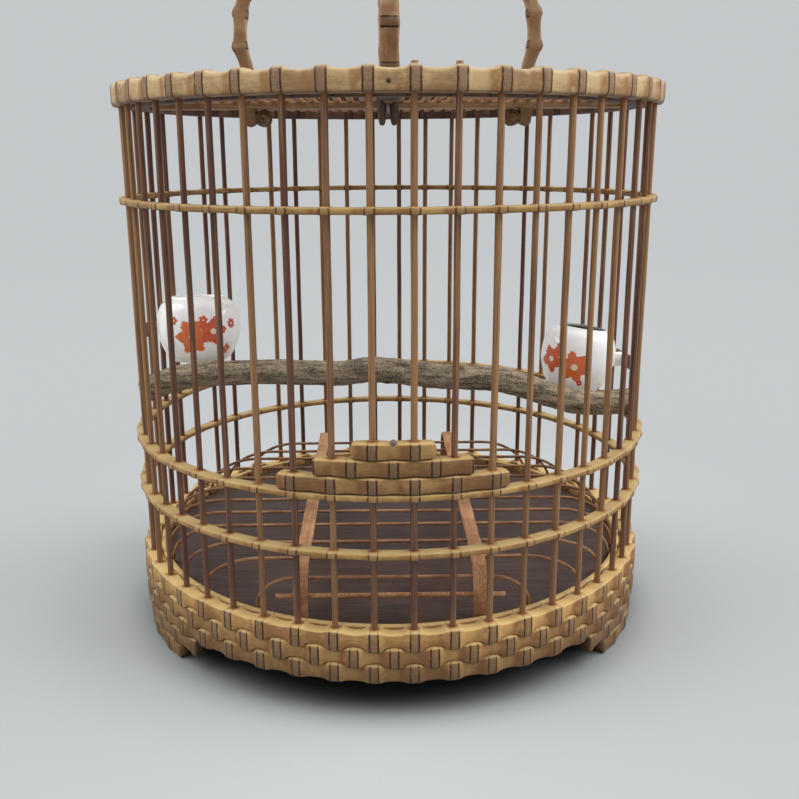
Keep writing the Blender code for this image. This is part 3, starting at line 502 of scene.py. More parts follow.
for azimuth in (-60.0, 60.0, 180.0):
    for row in range(2):
        half_angle = 16.0 - 6.5 * row
        rows.append(strip(row_finish, 0.1550, FOOT_LOW + (1 - row) * FOOT_ROW, 0.0070, FOOT_ROW,
                          Start=azimuth - half_angle, End=azimuth + half_angle, Station=BAR_PITCH / 2 * row,
                          Foot_Share=1.0 - row, Seed=azimuth + row, **FOOT))
piece("base", rows, "cage", "golden_bamboo", "base_skirt")

# Tray
# A round dark-stained board with a little dust on it. It lies on the ledge inside the base, under the
# floor grille.


def smooth_mesh(shape, finish):
    """A smooth mesh of one finish out of a bmesh, which is used up."""
    mesh = bpy.data.meshes.new("part")
    shape.to_mesh(mesh)
    shape.free()
    mesh.materials.append(finish)
    mesh.shade_smooth()
    return mesh


def turned(profile, steps, finish, upright=Matrix()):
    """A solid turned from (radius, height) points about an upright axis, each end on the axis."""
    shape = bmesh.new()
    rings = []
    for reach, height in profile:
        turns = [math.tau * step / steps for step in range(steps)] if reach > 0.00001 else [0.0]
        spots = [Vector((reach * math.cos(turn), reach * math.sin(turn), height)) for turn in turns]
        rings.append([shape.verts.new(upright @ spot) for spot in spots])
    for lower, upper in zip(rings, rings[1:]):
        for step in range(steps):
            after = (step + 1) % steps
            corners = [lower[step % len(lower)], lower[after % len(lower)], upper[after % len(upper)],
                       upper[step % len(upper)]]
            shape.faces.new(list(dict.fromkeys(corners)))
    bmesh.ops.recalc_face_normals(shape, faces=shape.faces)
    return smooth_mesh(shape, finish)


board_finish, recipe = new_finish("stained_board")
x, y, z = recipe.parts()
grain = recipe.cloud(1.0, 4.0, 0.6, recipe.vector(x * 30.0, y * 420.0, z * 30.0))
wash = recipe.cloud(22.0, 3.0)
dust = recipe.ramp(recipe.cloud(260.0, 4.0, 0.7), 0.56, 0.75)
colour = recipe.layers(recipe.ramp(grain + wash * 0.6, 0.55, 1.05), (0.034, 0.018, 0.014),
                       (0.082, 0.044, 0.032), (dust * 0.3, (0.16, 0.105, 0.070)))
recipe.surface(colour, 0.5 + dust * 0.25, grain + dust * 0.5, 0.0002)
TRAY_RADIUS = 0.1448
TRAY_LOW = 0.0387
TRAY_HIGH = 0.0417
EASE = 0.0006
piece("tray", [turned(((0, TRAY_LOW), (TRAY_RADIUS - EASE, TRAY_LOW), (TRAY_RADIUS, TRAY_LOW + EASE),
                       (TRAY_RADIUS, TRAY_HIGH - EASE), (TRAY_RADIUS - EASE, TRAY_HIGH), (0, TRAY_HIGH)),
                      96, board_finish)], "cage", "board", "floor_tray")

# Wall bars
# Forty-four thin round sticks of dark bamboo, pulled through a die, pushed down into the top row of the
# base, through the three hoops and up into the rim. No two have quite the same tone.

bars_tree, recipe, given = new_tree(
    "round_bars", ("Circle", "First", "Pitch", "Bar Radius", "Low", "High", "Sway", "Seed"),
    ("Count", "Sides"))
length = given["High"] - given["Low"]
points = recipe.shape("Points", Count=given["Count"])
index = recipe.shape("InputIndex")
angle = (index + given["First"] + 0.5) * given["Pitch"] * DEGREE
spot = recipe.vector(given["Circle"] * angle.sum("SINE"),
                     given["Circle"] * angle.sum("COSINE") * -1.0,
                     (given["Low"] + given["High"]) * 0.5)
points = recipe.shape("SetPosition", Geometry=points, Position=spot)
stick = recipe.shape("MeshCylinder", Vertices=given["Sides"], Side_Segments=30,
                     Radius=given["Bar Radius"], Depth=length)
size = chance(recipe, 0.90, 1.04, given["Seed"] + 1.0)
turn = chance(recipe, 0.0, 6.28, given["Seed"] + 2.0)
copies = recipe.shape("InstanceOnPoints", Points=points, Instance=stick,
                      Rotation=recipe.vector(0.0, 0.0, turn), Scale=recipe.vector(size, size, 1.0))
copies = store(recipe, copies, "tone", chance(recipe, 0.0, 1.0, given["Seed"]), "INSTANCE")
real = recipe.shape("RealizeInstances", Geometry=copies)
x, y, z = recipe.parts(recipe.shape("InputPosition"))
stretched = recipe.vector(x * 24.0, y * 24.0, z * 16.0)
bend = recipe.add("ShaderNodeTexNoise", (), {"Vector": stretched, "Scale": 1.0, "Detail": 2.0}, "Color")
shift = recipe.add("ShaderNodeVectorMath", {"operation": "SUBTRACT"}, {0: bend, 1: (0.5, 0.5, 0.5)})
shift = recipe.add("ShaderNodeVectorMath", {"operation": "MULTIPLY"},
                   {0: shift, 1: recipe.vector(given["Sway"], given["Sway"], 0.0)})
geometry = recipe.shape("SetPosition", Geometry=real, Offset=shift)
end_tree(recipe, geometry, given)

bar_finish, recipe = new_finish("bar_bamboo")
x, y, z = recipe.parts()
streak = recipe.cloud(1.0, 3.0, 0.6, recipe.vector(x * 1100.0, y * 1100.0, z * 26.0))
long_wash = recipe.cloud(1.0, 3.0, place=recipe.vector(x * 60.0, y * 60.0, z * 14.0))
fine = recipe.cloud(1900.0, 2.0)
tone = recipe.attribute("tone")
warm = recipe.ramp(long_wash * 0.9 + tone * 0.75 + streak * 0.35, 0.72, 1.28)
socket = (1.0 - recipe.ramp(z, 0.046, 0.058)).most(recipe.ramp(z, 0.300, 0.309))
colour = recipe.layers(
    warm, (0.135, 0.054, 0.034), (0.330, 0.170, 0.070),
    (recipe.ramp(streak + fine * 0.12, 0.58, 0.76) * 0.5, (0.44, 0.26, 0.12)),
    ((1.0 - recipe.ramp(streak, 0.32, 0.45)) * 0.7, (0.055, 0.020, 0.014)),
    ((1.0 - recipe.ramp(z, 0.060, 0.140)) * 0.35, (0.085, 0.040, 0.026)),
    (socket * (0.30 + long_wash * 0.4), (0.26, 0.095, 0.030)),
)
recipe.surface(colour, 0.42 + fine * 0.14, streak + fine * 0.3, 0.00012, Coat_Weight=0.12, Coat_Roughness=0.2,
               Specular_IOR_Level=0.35)


BAR_FOOT = 0.0262
BAR_RADIUS = 0.00172
BAR_SWAY = 0.0007


def bars(first, count, low, high, seed):
    """Round bars side by side, from the first one's number."""
    return grow(bars_tree, bar_finish, Circle=BAR_CIRCLE, First=float(first), Pitch=BAR_PITCH,
                Bar_Radius=BAR_RADIUS, Low=low, High=high, Sway=BAR_SWAY, Seed=float(seed), Count=count,
                Sides=14)


piece("wall_bars", [bars(2, 44, BAR_FOOT, 0.3150, 3)], "cage", "dark_bamboo",
      *[f"bar_{number:02d}" for number in range(1, 45)])

# Hoops
# Three rings of golden split bamboo, drilled for the bars that pass through them.

hoop_finish = bamboo_finish("hoop_bamboo", (0.52, 0.34, 0.115), (0.29, 0.155, 0.048), (0.31, 0.135, 0.040),
                            (0.34, 0.20, 0.085), (0.11, 0.04, 0.017), 0.0044, (0.49, 0.35, 0.15))
HOOPS = (("hoop_lower", 0.0867), ("hoop_middle", 0.1174), ("hoop_upper", 0.2555))
for number, (name, low) in enumerate(HOOPS):
    ring = strip(hoop_finish, 0.1552, low, 0.0078, 0.0034, 12, Node_Rise=0.0003, Waist_In=0.0003,
                 Boxiness=4.5, Roughness=0.0002, Seed=31.0 + number)
    piece(name, [ring], "cage", "golden_bamboo", name)

# Rim
# One thick ring of split bamboo. Its nodes stand up from the scraped top like low battlements.

rim_finish = bamboo_finish("rim_bamboo", (0.68, 0.48, 0.24), (0.36, 0.21, 0.095), (0.36, 0.17, 0.060),
                           (0.23, 0.130, 0.078), (0.085, 0.026, 0.016), 0.0045, (0.47, 0.36, 0.20))
rim = strip(rim_finish, 0.1538, 0.3084, 0.0114, 0.0110, Node_Length=0.0033, Node_Rise=0.0011, Node_Out=0.0004,
            Waist_Length=0.0055, Waist_Sink=0.0006, Waist_In=0.0006, Foot_Share=0.1, Boxiness=5.0, Seed=41.0,
            Sides=28)


def mottled_finish(name, scale, detail, dark, pale, rough, relief):
    """One tone that drifts between two colours."""
    made, recipe = new_finish(name)
    drift = recipe.cloud(scale, detail)
    recipe.surface(recipe.mix(drift, dark, pale), rough + drift * 0.2, drift, relief)
    return made


pin_finish = mottled_finish("dark_pin", 1200.0, 2.0, (0.020, 0.012, 0.010), (0.075, 0.045, 0.030),
                            0.5, 0.0001)
pin = turned(((0, -0.004), (0.0007, -0.004), (0.0007, 0.0), (0.0011, 0.0002), (0.0007, 0.0007), (0, 0.0008)),
             14, pin_finish,
             Matrix.Translation((-0.0014, -0.1588, 0.3132)) @ Matrix.Rotation(math.pi / 2, 4, "X"))
piece("rim", [rim, pin], "cage", "pale_bamboo", "top_rim")

# Sill
# A curved block of the same bamboo pinned on the middle hoop, with four short bars pegged into it.

block_finish = bamboo_finish("block_bamboo", (0.42, 0.25, 0.090), (0.21, 0.105, 0.038), (0.22, 0.090, 0.03),
                             (0.16, 0.095, 0.055), RED_BROWN, 0.0043, (0.62, 0.42, 0.17))
BLOCK = dict(Node_Rise=0.0002, Node_Out=0.0006, Waist_Length=0.004, Waist_Sink=0.0002, Waist_In=0.0007,
             End_Round=0.0026, Boxiness=6.0)
sill = strip(block_finish, 0.1544, 0.1210, 0.0088, 0.0086, Start=-22.1, End=22.1, Seed=51.0, **BLOCK)
piece("sill", [sill, bars(-2, 4, BAR_FOOT, 0.1260, 7)], "cage", "golden_bamboo", "door_sill")

# Door
# Two shorter blocks glued on each other, with the four middle bars fixed in them. The bars run free
# through the upper hoop and the rim, and a small knob on top lifts it all.

lower_block = strip(block_finish, 0.1544, 0.1299, 0.0088, 0.0087, Start=-14.95, End=14.95, Station=0.0,
                    Seed=52.0, **BLOCK)
upper_block = strip(block_finish, 0.1544, 0.1387, 0.0086, 0.0086, Start=-7.95, End=7.95, Seed=53.0, **BLOCK)
knob_finish = mottled_finish("knob_horn", 900.0, 3.0, (0.10, 0.062, 0.060), (0.24, 0.17, 0.15), 0.3, 0.0001)
knob = turned(((0, -0.0018), (0.0009, -0.0015), (0.0016, -0.0008), (0.0018, 0), (0.0016, 0.0008),
               (0.0009, 0.0015), (0, 0.0018)), 20, knob_finish, Matrix.Translation((0, -0.15655, 0.1474)))
left_bars = bars(-2, 2, 0.1330, 0.3204, 5)
right_bars = bars(0, 2, 0.1330, 0.3218, 6)
piece("sliding_door", [lower_block, upper_block, left_bars, right_bars, knob], "door", "golden_bamboo",
      "door")

# Roof
# Inside the rim lies a ring with two crossing battens under a deck of thin split rods.


def rounded_bar(low, high, ease, finish):
    """A bar with eased edges."""
    shape = bmesh.new()
    made = bmesh.ops.create_cube(shape, size=1.0)
    for vert in made["verts"]:
        vert.co = Vector([low[axis] if vert.co[axis] < 0 else high[axis] for axis in range(3)])
    bmesh.ops.bevel(shape, geom=list(shape.edges), offset=ease, segments=2, profile=0.5, affect="EDGES")
    return smooth_mesh(shape, finish)


def wood_finish(name, pale, deep, stretch):
    """Scraped bamboo without its skin: straight fibres along one axis, pores, a worn tone and painted shade
    on faces that look down.
    """
    made, recipe = new_finish(name)
    x, y, z = recipe.parts()
    fibre = recipe.cloud(1.0, 3.0, 0.6, recipe.vector(x * stretch[0], y * stretch[1], z * stretch[2]))
    broad = recipe.cloud(60.0, 3.0)
    fine = recipe.cloud(1600.0, 2.0, 0.6)
    colour = recipe.layers(recipe.ramp(fibre * 0.9 + broad * 0.9, 0.65, 1.15), deep, pale,
                           (recipe.ramp(fine, 0.6, 0.75) * 0.4, deep),
                           # Painted shade on faces that look down.
                           (recipe.ramp(recipe.upward() * -1.0, 0.2, 0.9) * 0.35, deep))
    recipe.surface(colour, 0.5 + fine * 0.15, fibre + fine * 0.4, 0.0002, Coat_Weight=0.05,
                   Coat_Roughness=0.3, Specular_IOR_Level=0.3)
    return made


rod_tree, recipe, given = new_tree(
    "rod_deck", ("Pitch", "Width", "Thickness", "Reach", "Height"), ("Side Count",))
points = recipe.shape("Points", Count=given["Side Count"] * 2.0 + 1.0)
index = recipe.shape("InputIndex")
along = (index - given["Side Count"]) * given["Pitch"]
points = recipe.shape("SetPosition", Geometry=points, Position=recipe.vector(along, 0.0, given["Height"]))
reach = (given["Reach"] * given["Reach"] - along * along).most(0.0) ** 0.5
line = recipe.shape("CurvePrimitiveLine", Start=(0.0, -1.0, 0.0), End=(0.0, 1.0, 0.0))
tilt = chance(recipe, -0.003, 0.003, 5)
rods = recipe.shape("InstanceOnPoints", Points=points, Instance=line,
                    Scale=recipe.vector(1.0, reach, 1.0), Rotation=recipe.vector(0.0, 0.0, tilt))
rods = recipe.shape("RealizeInstances", Geometry=rods)
rods = recipe.shape("ResampleCurve", Curve=rods, Count=20)
section = recipe.shape("CurvePrimitiveQuadrilateral", Width=given["Width"], Height=given["Thickness"])
section = recipe.add("GeometryNodeFilletCurve", {"mode": "POLY"},
                     {"Curve": section, "Radius": 0.0007, "Count": 2})
rods = recipe.shape("CurveToMesh", Curve=rods, Profile_Curve=section, Fill_Caps=True)
end_tree(recipe, rods, given)

rod_finish = wood_finish("roof_rod", (0.50, 0.25, 0.095), (0.22, 0.085, 0.032), (900.0, 40.0, 900.0))
batten_finish = wood_finish("roof_batten", (0.44, 0.27, 0.13), (0.22, 0.115, 0.055), (60.0, 60.0, 900.0))
prong_finish = wood_finish("dark_prong", (0.16, 0.095, 0.055), (0.05, 0.028, 0.020), (700.0, 700.0, 60.0))
ring_finish = bamboo_finish("roof_ring", (0.16, 0.095, 0.055), (0.07, 0.038, 0.025), (0.16, 0.07, 0.03),
                            (0.07, 0.04, 0.03), RED_BROWN, 0.0047, (0.25, 0.16, 0.09))
deck = grow(rod_tree, rod_finish, Pitch=0.0075, Width=0.0034, Thickness=0.0030, Reach=0.1430, Height=0.3134,
            Side_Count=18)
roof_ring = strip(ring_finish, 0.14355, 0.3072, 0.0082, 0.0088, Node_Out=0.0, Seed=61.0)
across_batten = rounded_bar((-0.1430, -0.0100, 0.3084), (0.1430, 0.0100, 0.3124), 0.0008, batten_finish)
along_batten = rounded_bar((-0.0060, -0.1430, 0.30845), (0.0048, 0.1430, 0.31235), 0.0008, prong_finish)
ties = grow(rod_tree, prong_finish, Pitch=0.0155, Width=0.0014, Thickness=0.0013, Reach=0.1425, Height=0.3153,
            Side_Count=8)
ties.transform(Matrix.Rotation(math.pi / 2, 4, "Z"))
piece("roof", [deck, ties, roof_ring, across_batten, along_batten], "cage", "slat_bamboo", "roof_grille")

# Handle
# Two bent bamboo bows that cross at the crown. The side bow ends below the roof in carved curls, and the
# front bow in two split prongs that grip the batten.

noise.seed_set(1)


def smooth_line(points, steps):
    """More points on a smooth curve through these."""
    points = [Vector(point) for point in points]
    ends = [2 * points[0] - points[1]] + points + [2 * points[-1] - points[-2]]
    line = []
    for before, start, end, after in zip(ends, ends[1:], ends[2:], ends[3:]):
        for step in range(steps):
            t = step / steps
            line.append(0.5 * (2 * start + (end - before) * t
                               + (2 * before - 5 * start + 4 * end - after) * t ** 2
                               + (3 * start - before - 3 * end + after) * t ** 3))
    return line + [points[-1]]


def skin(sections, finish, **fields):
    """A closed skin over rings of points, with a cap on each end and numbers kept on the points."""
    shape = bmesh.new()
    rings = [[shape.verts.new(point) for point in ring] for ring in sections]
    for lower, upper in zip(rings, rings[1:]):
        for step in range(len(lower)):
            after = (step + 1) % len(lower)
            shape.faces.new((lower[step], lower[after], upper[after], upper[step]))
    shape.faces.new(rings[0])
    shape.faces.new(rings[-1])
    bmesh.ops.recalc_face_normals(shape, faces=shape.faces)
    mesh = smooth_mesh(shape, finish)
    for name, values in fields.items():
        mesh.attributes.new(name, "FLOAT", "POINT").data.foreach_set("value", values)
    return mesh


def walk(line):
    """Each point of a line with its tangent."""
    for index, point in enumerate(line):
        before, after = line[max(index - 1, 0)], line[min(index + 1, len(line) - 1)]
        yield Vector(point), (Vector(after) - Vector(before)).normalized()


def squared(turn, power):
    """A point on a square with eased corners, as (wide, deep)."""
    return [math.copysign(abs(part) ** power, part) for part in (math.cos(turn), math.sin(turn))]


def bow(path, direction, thickness, node_pitch, node_start, knuckle, seed):
    """A flat bamboo bow along a path of (reach, height) in the upright plane of a direction. Its nodes
    stand out as knuckles on the outer side."""
    dice = random.Random(seed)
    sideways = Vector((0, 0, 1)).cross(direction)
    steps = [0.0] + [(end - start).length for start, end in zip(path, path[1:])]
    total = sum(steps)
    sections, values = [], []
    tones = [dice.random() for cell in range(80)]
    run = 0.0
    for (point, tangent), step in zip(walk(path), steps):
        run += step
        normal = Vector((-tangent.y, tangent.x))
        phase = (run - total / 2 - node_start) / node_pitch
        lean = (phase - round(phase)) * node_pitch
        gap = abs(lean)
        swell = math.exp(-(gap / 0.0026) ** 4)
        dip = math.exp(-((node_pitch / 2 - gap) / 0.007) ** 2)
        end = min(run, total - run)
        ease = math.sqrt(max(1 - (1 - min(end / 0.0025, 1)) ** 2, 0.05))
        ring = []
        for side in range(20):
            wide, deep = squared(math.tau * side / 20, 0.5)
            thick = thickness / 2 * ease + 0.00035 * swell - 0.0003 * dip
            thick += knuckle * math.exp(-gap / 0.0026) * max(-deep, 0) * ease
            flat = point + normal * deep * thick
            across = sideways * wide * (BOW_WIDTH / 2 * ease + 0.0002 * swell - 0.0003 * dip)
            spot = direction * flat.x + Vector((0, 0, flat.y)) + across
            spot += 0.0002 * Vector(noise.noise_vector(spot * 90 + Vector((seed, 0, 0))))
            ring.append(spot)
            values.append((lean, gap, tones[math.floor(phase) % len(tones)], wide * 0.8, deep, run))
        sections.append(ring)
    names = ("lean", "gap", "tone", "across", "face", "run")
    return skin(sections, bow_finish, **dict(zip(names, zip(*values))))


BOW_WIDTH = 0.0104
RIM_TOP = 0.3208
LEG = 0.0823
SPREAD = 0.0865
SHOULDER = 0.033


def bow_line(crown, foot):
    """The centre line of a bow: upright legs that flare to the shoulder, and a flattened arch."""
    half = [(LEG, foot), (LEG, 0.3084), (LEG, RIM_TOP), (LEG + 0.00105, RIM_TOP + SHOULDER / 3),
            (SPREAD, RIM_TOP + 0.75 * SHOULDER)]
    for step in range(1, 7):
        turn = math.pi / 2 * step / 6.5
        half.append((SPREAD * math.cos(turn) ** 0.8, RIM_TOP + SHOULDER + crown * math.sin(turn) ** 0.8))
    other = [(-reach, height) for reach, height in reversed(half)]
    return smooth_line(half + [(0.0, RIM_TOP + SHOULDER + crown)] + other, 10)


bow_finish = bamboo_finish("bow_bamboo", (0.56, 0.38, 0.20), (0.28, 0.165, 0.085), (0.30, 0.15, 0.070),
                           (0.13, 0.055, 0.032), RED_BROWN, 0.0042, (0.60, 0.43, 0.24), ring=False)
carved_finish, recipe = new_finish("carved_bamboo")
dots = recipe.spots(1300.0)
broad = recipe.cloud(240.0, 3.0)
colour = recipe.layers(recipe.ramp(broad, 0.35, 0.65), (0.15, 0.085, 0.04), (0.36, 0.225, 0.10),
                       (recipe.ramp(dots, 0.35, 0.6) * 0.7, (0.10, 0.052, 0.028)))
recipe.surface(colour, 0.5 + broad * 0.2, dots * -1.0 + broad, 0.0003)


def curl(centre, out):
    """A carved knob like a rolled leaf, with a spiral groove on each side."""
    shape = bmesh.new()
    bmesh.ops.create_uvsphere(shape, u_segments=48, v_segments=32, radius=1.0)
    for vert in shape.verts:
        place = vert.co.copy()
        turn = math.atan2(place.z, place.x * out)
        off_axis = math.hypot(place.x, place.z)
        groove = 0.5 + 0.5 * math.cos(math.tau * (off_axis * 1.9 - turn / math.tau))
        squash = 1 - 0.17 * groove * min(abs(place.y) * 1.6, 1)
        shell = 1 + 0.05 * math.cos(3 * turn)
        deep = math.copysign(abs(place.y) ** 0.8, place.y) * 0.0052 * squash
        vert.co = centre + Vector((place.x * 0.0056 * shell, deep, place.z * 0.0050 * shell))
    return smooth_mesh(shape, carved_finish)


side_bow = bow(bow_line(0.0400, 0.2981), Vector((1, 0, 0)), 0.0078, 0.0179, 0.00895, 0.0014, 71)
curls = [curl(Vector((side * 0.0747, 0, 0.3031)), side) for side in (-1, 1)]
piece("side_bow", [side_bow] + curls, "cage", "pale_bamboo", "handle_bow_side")
front_bow = bow(bow_line(0.0305, 0.3064), Vector((0, 1, 0)), 0.0083, 0.0212, 0.0018, 0.0005, 72)
PRONG_SEAT = 0.3050
prongs = []
for front, tip in ((-1, 0.2964), (1, PRONG_SEAT)):
    profile = ((0, tip), (0.0010, tip + 0.0002), (0.0015, tip + 0.0010), (0.0018, tip + 0.0022),
               (0.0024, max(tip + 0.0025, PRONG_SEAT)), (0.0024, 0.3085), (0, 0.3085))
    for side in (-1, 1):
        middle = Matrix.Translation((side * 0.0031 - 0.0008, front * LEG, 0.0))
        prongs.append(turned(profile, 20, prong_finish, middle @ Matrix.Diagonal((1.0, 1.6, 1.0, 1.0))))
piece("front_bow", [front_bow] + prongs, "cage", "pale_bamboo", "handle_bow_front")

# Hook
# A brass rod bent to a hook, which turns in the crown. One bead carries the cage and one sits on top.

brass_finish, recipe = new_finish("old_brass")
tarnish = recipe.cloud(220.0, 4.0, 0.6)
fine = recipe.cloud(1400.0, 2.0)
colour = recipe.mix(recipe.ramp(tarnish, 0.42, 0.66), (0.70, 0.49, 0.20), (0.34, 0.20, 0.08))
recipe.surface(colour, 0.22 + tarnish * 0.3, fine, 0.00004, Metallic=1.0)


def carried(line):
    """Each point of a line with two directions across it, which turn no more than the line does."""
    side = Vector((0, 1, 0))
    for point, tangent in walk(line):
        side = (side - tangent * side.dot(tangent)).normalized()
        yield point, side, tangent.cross(side)


def tube(path, radii, finish, sides=16):
    """A round rod along a path, which may swell."""
    turns = [math.tau * step / sides for step in range(sides)]
    sections = [[point + radius * (math.cos(turn) * side + math.sin(turn) * other) for turn in turns]
                for (point, side, other), radius in zip(carried(path), radii)]
    return skin(sections, finish)


HOOK_ROD = 0.0020
BEAD = 0.0048
BEND = 0.017
BEND_HEIGHT = 0.43225
BEND_STEPS = 48
HOOK_TIP = ((0.0012, 0.0022), (0.0024, 0.0028), (0.0036, 0.0030), (0.0046, 0.0024), (0.0050, 0.0010))


def bead_run(height):
    """Points of the shank with a round bead, as (height, radius)."""
    turns = [math.pi * step / 12 for step in range(13)]
    return [(height - BEAD * math.cos(turn), max(BEAD * math.sin(turn), HOOK_ROD)) for turn in turns]


shank = bead_run(0.37475) + bead_run(0.40335)
path = [Vector((0, 0, height)) for height, radius in shank]
radii = [radius for height, radius in shank]
for step in range(BEND_STEPS + 1):
    turn = math.radians(235 * step / BEND_STEPS)
    path.append(Vector((BEND * math.sin(turn), 0, BEND_HEIGHT - BEND * math.cos(turn))))
    radii.append(HOOK_ROD)
end, tip = path[-1], (path[-1] - path[-2]).normalized()
for along, radius in HOOK_TIP:
    path.append(end + tip * along)
    radii.append(radius)
piece("swivel_hook", [tube(path, radii, brass_finish)], "hook", "brass", "hook")

# Perch
# A crooked branch in its bark, cut to length and notched over a bar at each end.

bark_finish, recipe = new_finish("branch_bark")
x, y, z = recipe.parts()
long_grain = recipe.cloud(1.0, 4.0, 0.65, recipe.vector(x * 70.0, y * 420.0, z * 420.0))
fine = recipe.cloud(950.0, 3.0, 0.7)
colour = recipe.layers(
    recipe.ramp(long_grain * 0.6 + fine * 0.5, 0.42, 0.70), (0.085, 0.062, 0.040), (0.52, 0.42, 0.28),
    (recipe.ramp(recipe.cloud(75.0, 4.0, 0.6), 0.55, 0.70) * 0.6, (0.085, 0.060, 0.040)),
    (recipe.ramp(recipe.spots(620.0), 0.30, 0.12) * 0.6, (0.58, 0.50, 0.37)),
    (recipe.attribute("knot"), (0.035, 0.020, 0.013)),
)
recipe.surface(colour, 0.72 + fine * 0.15, long_grain + fine * 0.6, 0.0006)
end_finish, recipe = new_finish("cut_branch_end")
x, y, z = recipe.parts()
rings = recipe.add("ShaderNodeTexWave", {"wave_type": "RINGS", "rings_direction": "X"},
                   {"Vector": recipe.vector(x, y + 0.01, z - 0.138), "Scale": 220.0, "Distortion": 2.0,
                    "Detail": 2.0})
recipe.surface(recipe.mix(rings, (0.22, 0.14, 0.075), (0.34, 0.24, 0.14)), 0.7 + rings * 0.1, rings, 0.0001)

PERCH_RADIUS = 0.0079
PERCH_HALF = 0.156
PERCH_PLACE = -0.01009
PERCH_LOW = 0.1276
PERCH_RISE = 0.0227
PERCH_SIDES = 40
PERCH_SHARES = ((-1, 0.46), (-0.872, 0.77), (-0.764, 0.90), (-0.566, 0.96), (-0.363, 0.94), (-0.193, 0.91),
                (-0.097, 1.0), (0, 0.97), (0.087, 0.89), (0.203, 0.80), (0.329, 0.76), (0.454, 0.67),
                (0.57, 0.46), (0.696, 0.15), (0.822, 0.0), (1.0, 0.065))
line = smooth_line([(share * PERCH_HALF, PERCH_PLACE, PERCH_LOW + rise * PERCH_RISE)
                    for share, rise in PERCH_SHARES], 14)
dice = random.Random(8)
knots = [(dice.uniform(-0.14, 0.14), dice.uniform(0, math.tau), dice.uniform(0.0016, 0.0034))
         for knot in range(17)]
sections, knot_field = [], []
for index, (point, side, other) in enumerate(carried(line)):
    end = min(index, len(line) - 1 - index) / 2
    ease = 1 - 0.12 * max(0, 1 - end)
    ring = []
    for step in range(PERCH_SIDES):
        turn = math.tau * step / PERCH_SIDES
        outward = math.cos(turn) * side + math.sin(turn) * other
        spot = point + outward * PERCH_RADIUS
        rough = 0.00045 * noise.fractal(spot * 190, 0.8, 2.2, 4) + 0.0005 * noise.noise(spot * 55)
        mark = 0.0
        for place, around, size in knots:
            off = math.hypot(point.x - place, ((turn - around + math.pi) % math.tau - math.pi) * PERCH_RADIUS)
            rough += 0.0009 * math.exp(-(off / size) ** 2) - 0.0011 * math.exp(-(off / size * 2.2) ** 2)
            mark = max(mark, math.exp(-(off / size * 1.9) ** 2))
        ring.append(point + outward * min((PERCH_RADIUS + rough) * ease, 0.0084))
        knot_field.append(mark)
    sections.append(ring)
perch = skin(sections, bark_finish, knot=knot_field)
perch.materials.append(end_finish)
for face in perch.polygons:
    if len(face.vertices) > 4:
        face.material_index = 1
        face.use_smooth = False
piece("branch_perch", [perch], "cage", "bark", "perch")

# Cups
# Two glazed barrels with a painted bloom, one for water and one for seed. Each has a lug of fired clay
# that passes between two bars and is turned behind them.


def glaze_finish(name, centre, blooms, size, seed):
    """White glaze, a little darker towards the bottom and in drifting patches, and orange-red blooms with
    loose petals.
    """
    made, recipe = new_finish(name)
    x, y, z = recipe.parts()
    across, deep, high = x - centre[0], y - centre[1], z - centre[2]
    turn = across.sum("ARCTAN2", deep * -1.0)
    pooled = recipe.cloud(45.0, 2.0)
    # The glaze darkens a little towards the cup's bottom.
    colour = recipe.mix(recipe.ramp(high * 22.0 + pooled * 0.35, -0.5, 0.6), (0.90, 0.90, 0.87),
                        (0.99, 0.99, 0.97))
    ink = recipe.cloud(700.0, 2.0) - 0.5
    for bloom_turn, bloom_high, petals, spread, shade in blooms:
        flat = (turn - bloom_turn) * size
        tall = high - bloom_high
        off = (flat * flat + tall * tall) ** 0.5
        petal_turn = tall.sum("ARCTAN2", flat)
        wave = (petal_turn * petals + seed).sum("COSINE")
        edge = (wave * 0.16 + 0.86) * spread + ink * (spread * 0.4)
        colour = recipe.mix(1.0 - recipe.ramp(off - edge, -0.0002, 0.0003), colour, shade)
        colour = recipe.mix(1.0 - recipe.ramp(off, spread * 0.16, spread * 0.24), colour, (0.80, 0.72, 0.55))
    pits = recipe.ramp(recipe.cloud(800.0, 1.0), 0.72, 0.78)
    colour = recipe.mix(pits * 0.5, colour, (0.25, 0.2, 0.15))
    # The glaze also glows faintly in its own colour: painted light that brightens the cups.
    recipe.surface(colour, 0.08 + pooled * 0.06, pooled, 0.0002, Coat_Weight=0.6, Coat_Roughness=0.04,
                   Emission_Color=colour, Emission_Strength=0.13)
    return made


inside_finish = mottled_finish("cup_inside", 160.0, 3.0, (0.20, 0.215, 0.185), (0.34, 0.36, 0.31),
                               0.3, 0.0002)
clay_finish = mottled_finish("lug_clay", 300.0, 3.0, (0.20, 0.125, 0.07), (0.36, 0.26, 0.17), 0.5, 0.0002)
CUP_AZIMUTH = 97.5
LUG_END = -0.1570
CUP_OUTLINE = ((0.0, 0.0), (0.42, 0.0), (0.60, 0.004), (0.66, 0.02), (0.80, 0.12), (0.93, 0.30), (0.99, 0.44),
               (1.0, 0.55), (0.985, 0.70), (0.93, 0.82), (0.86, 0.895), (0.74, 0.945), (0.675, 0.972),
               (0.655, 0.99), (0.632, 1.0))
CUP_INSIDE = ((0.612, 0.99), (0.60, 0.96), (0.66, 0.92), (0.80, 0.86), (0.87, 0.78), (0.90, 0.60),
              (0.885, 0.40), (0.82, 0.24), (0.66, 0.12), (0.40, 0.085), (0.0, 0.08))
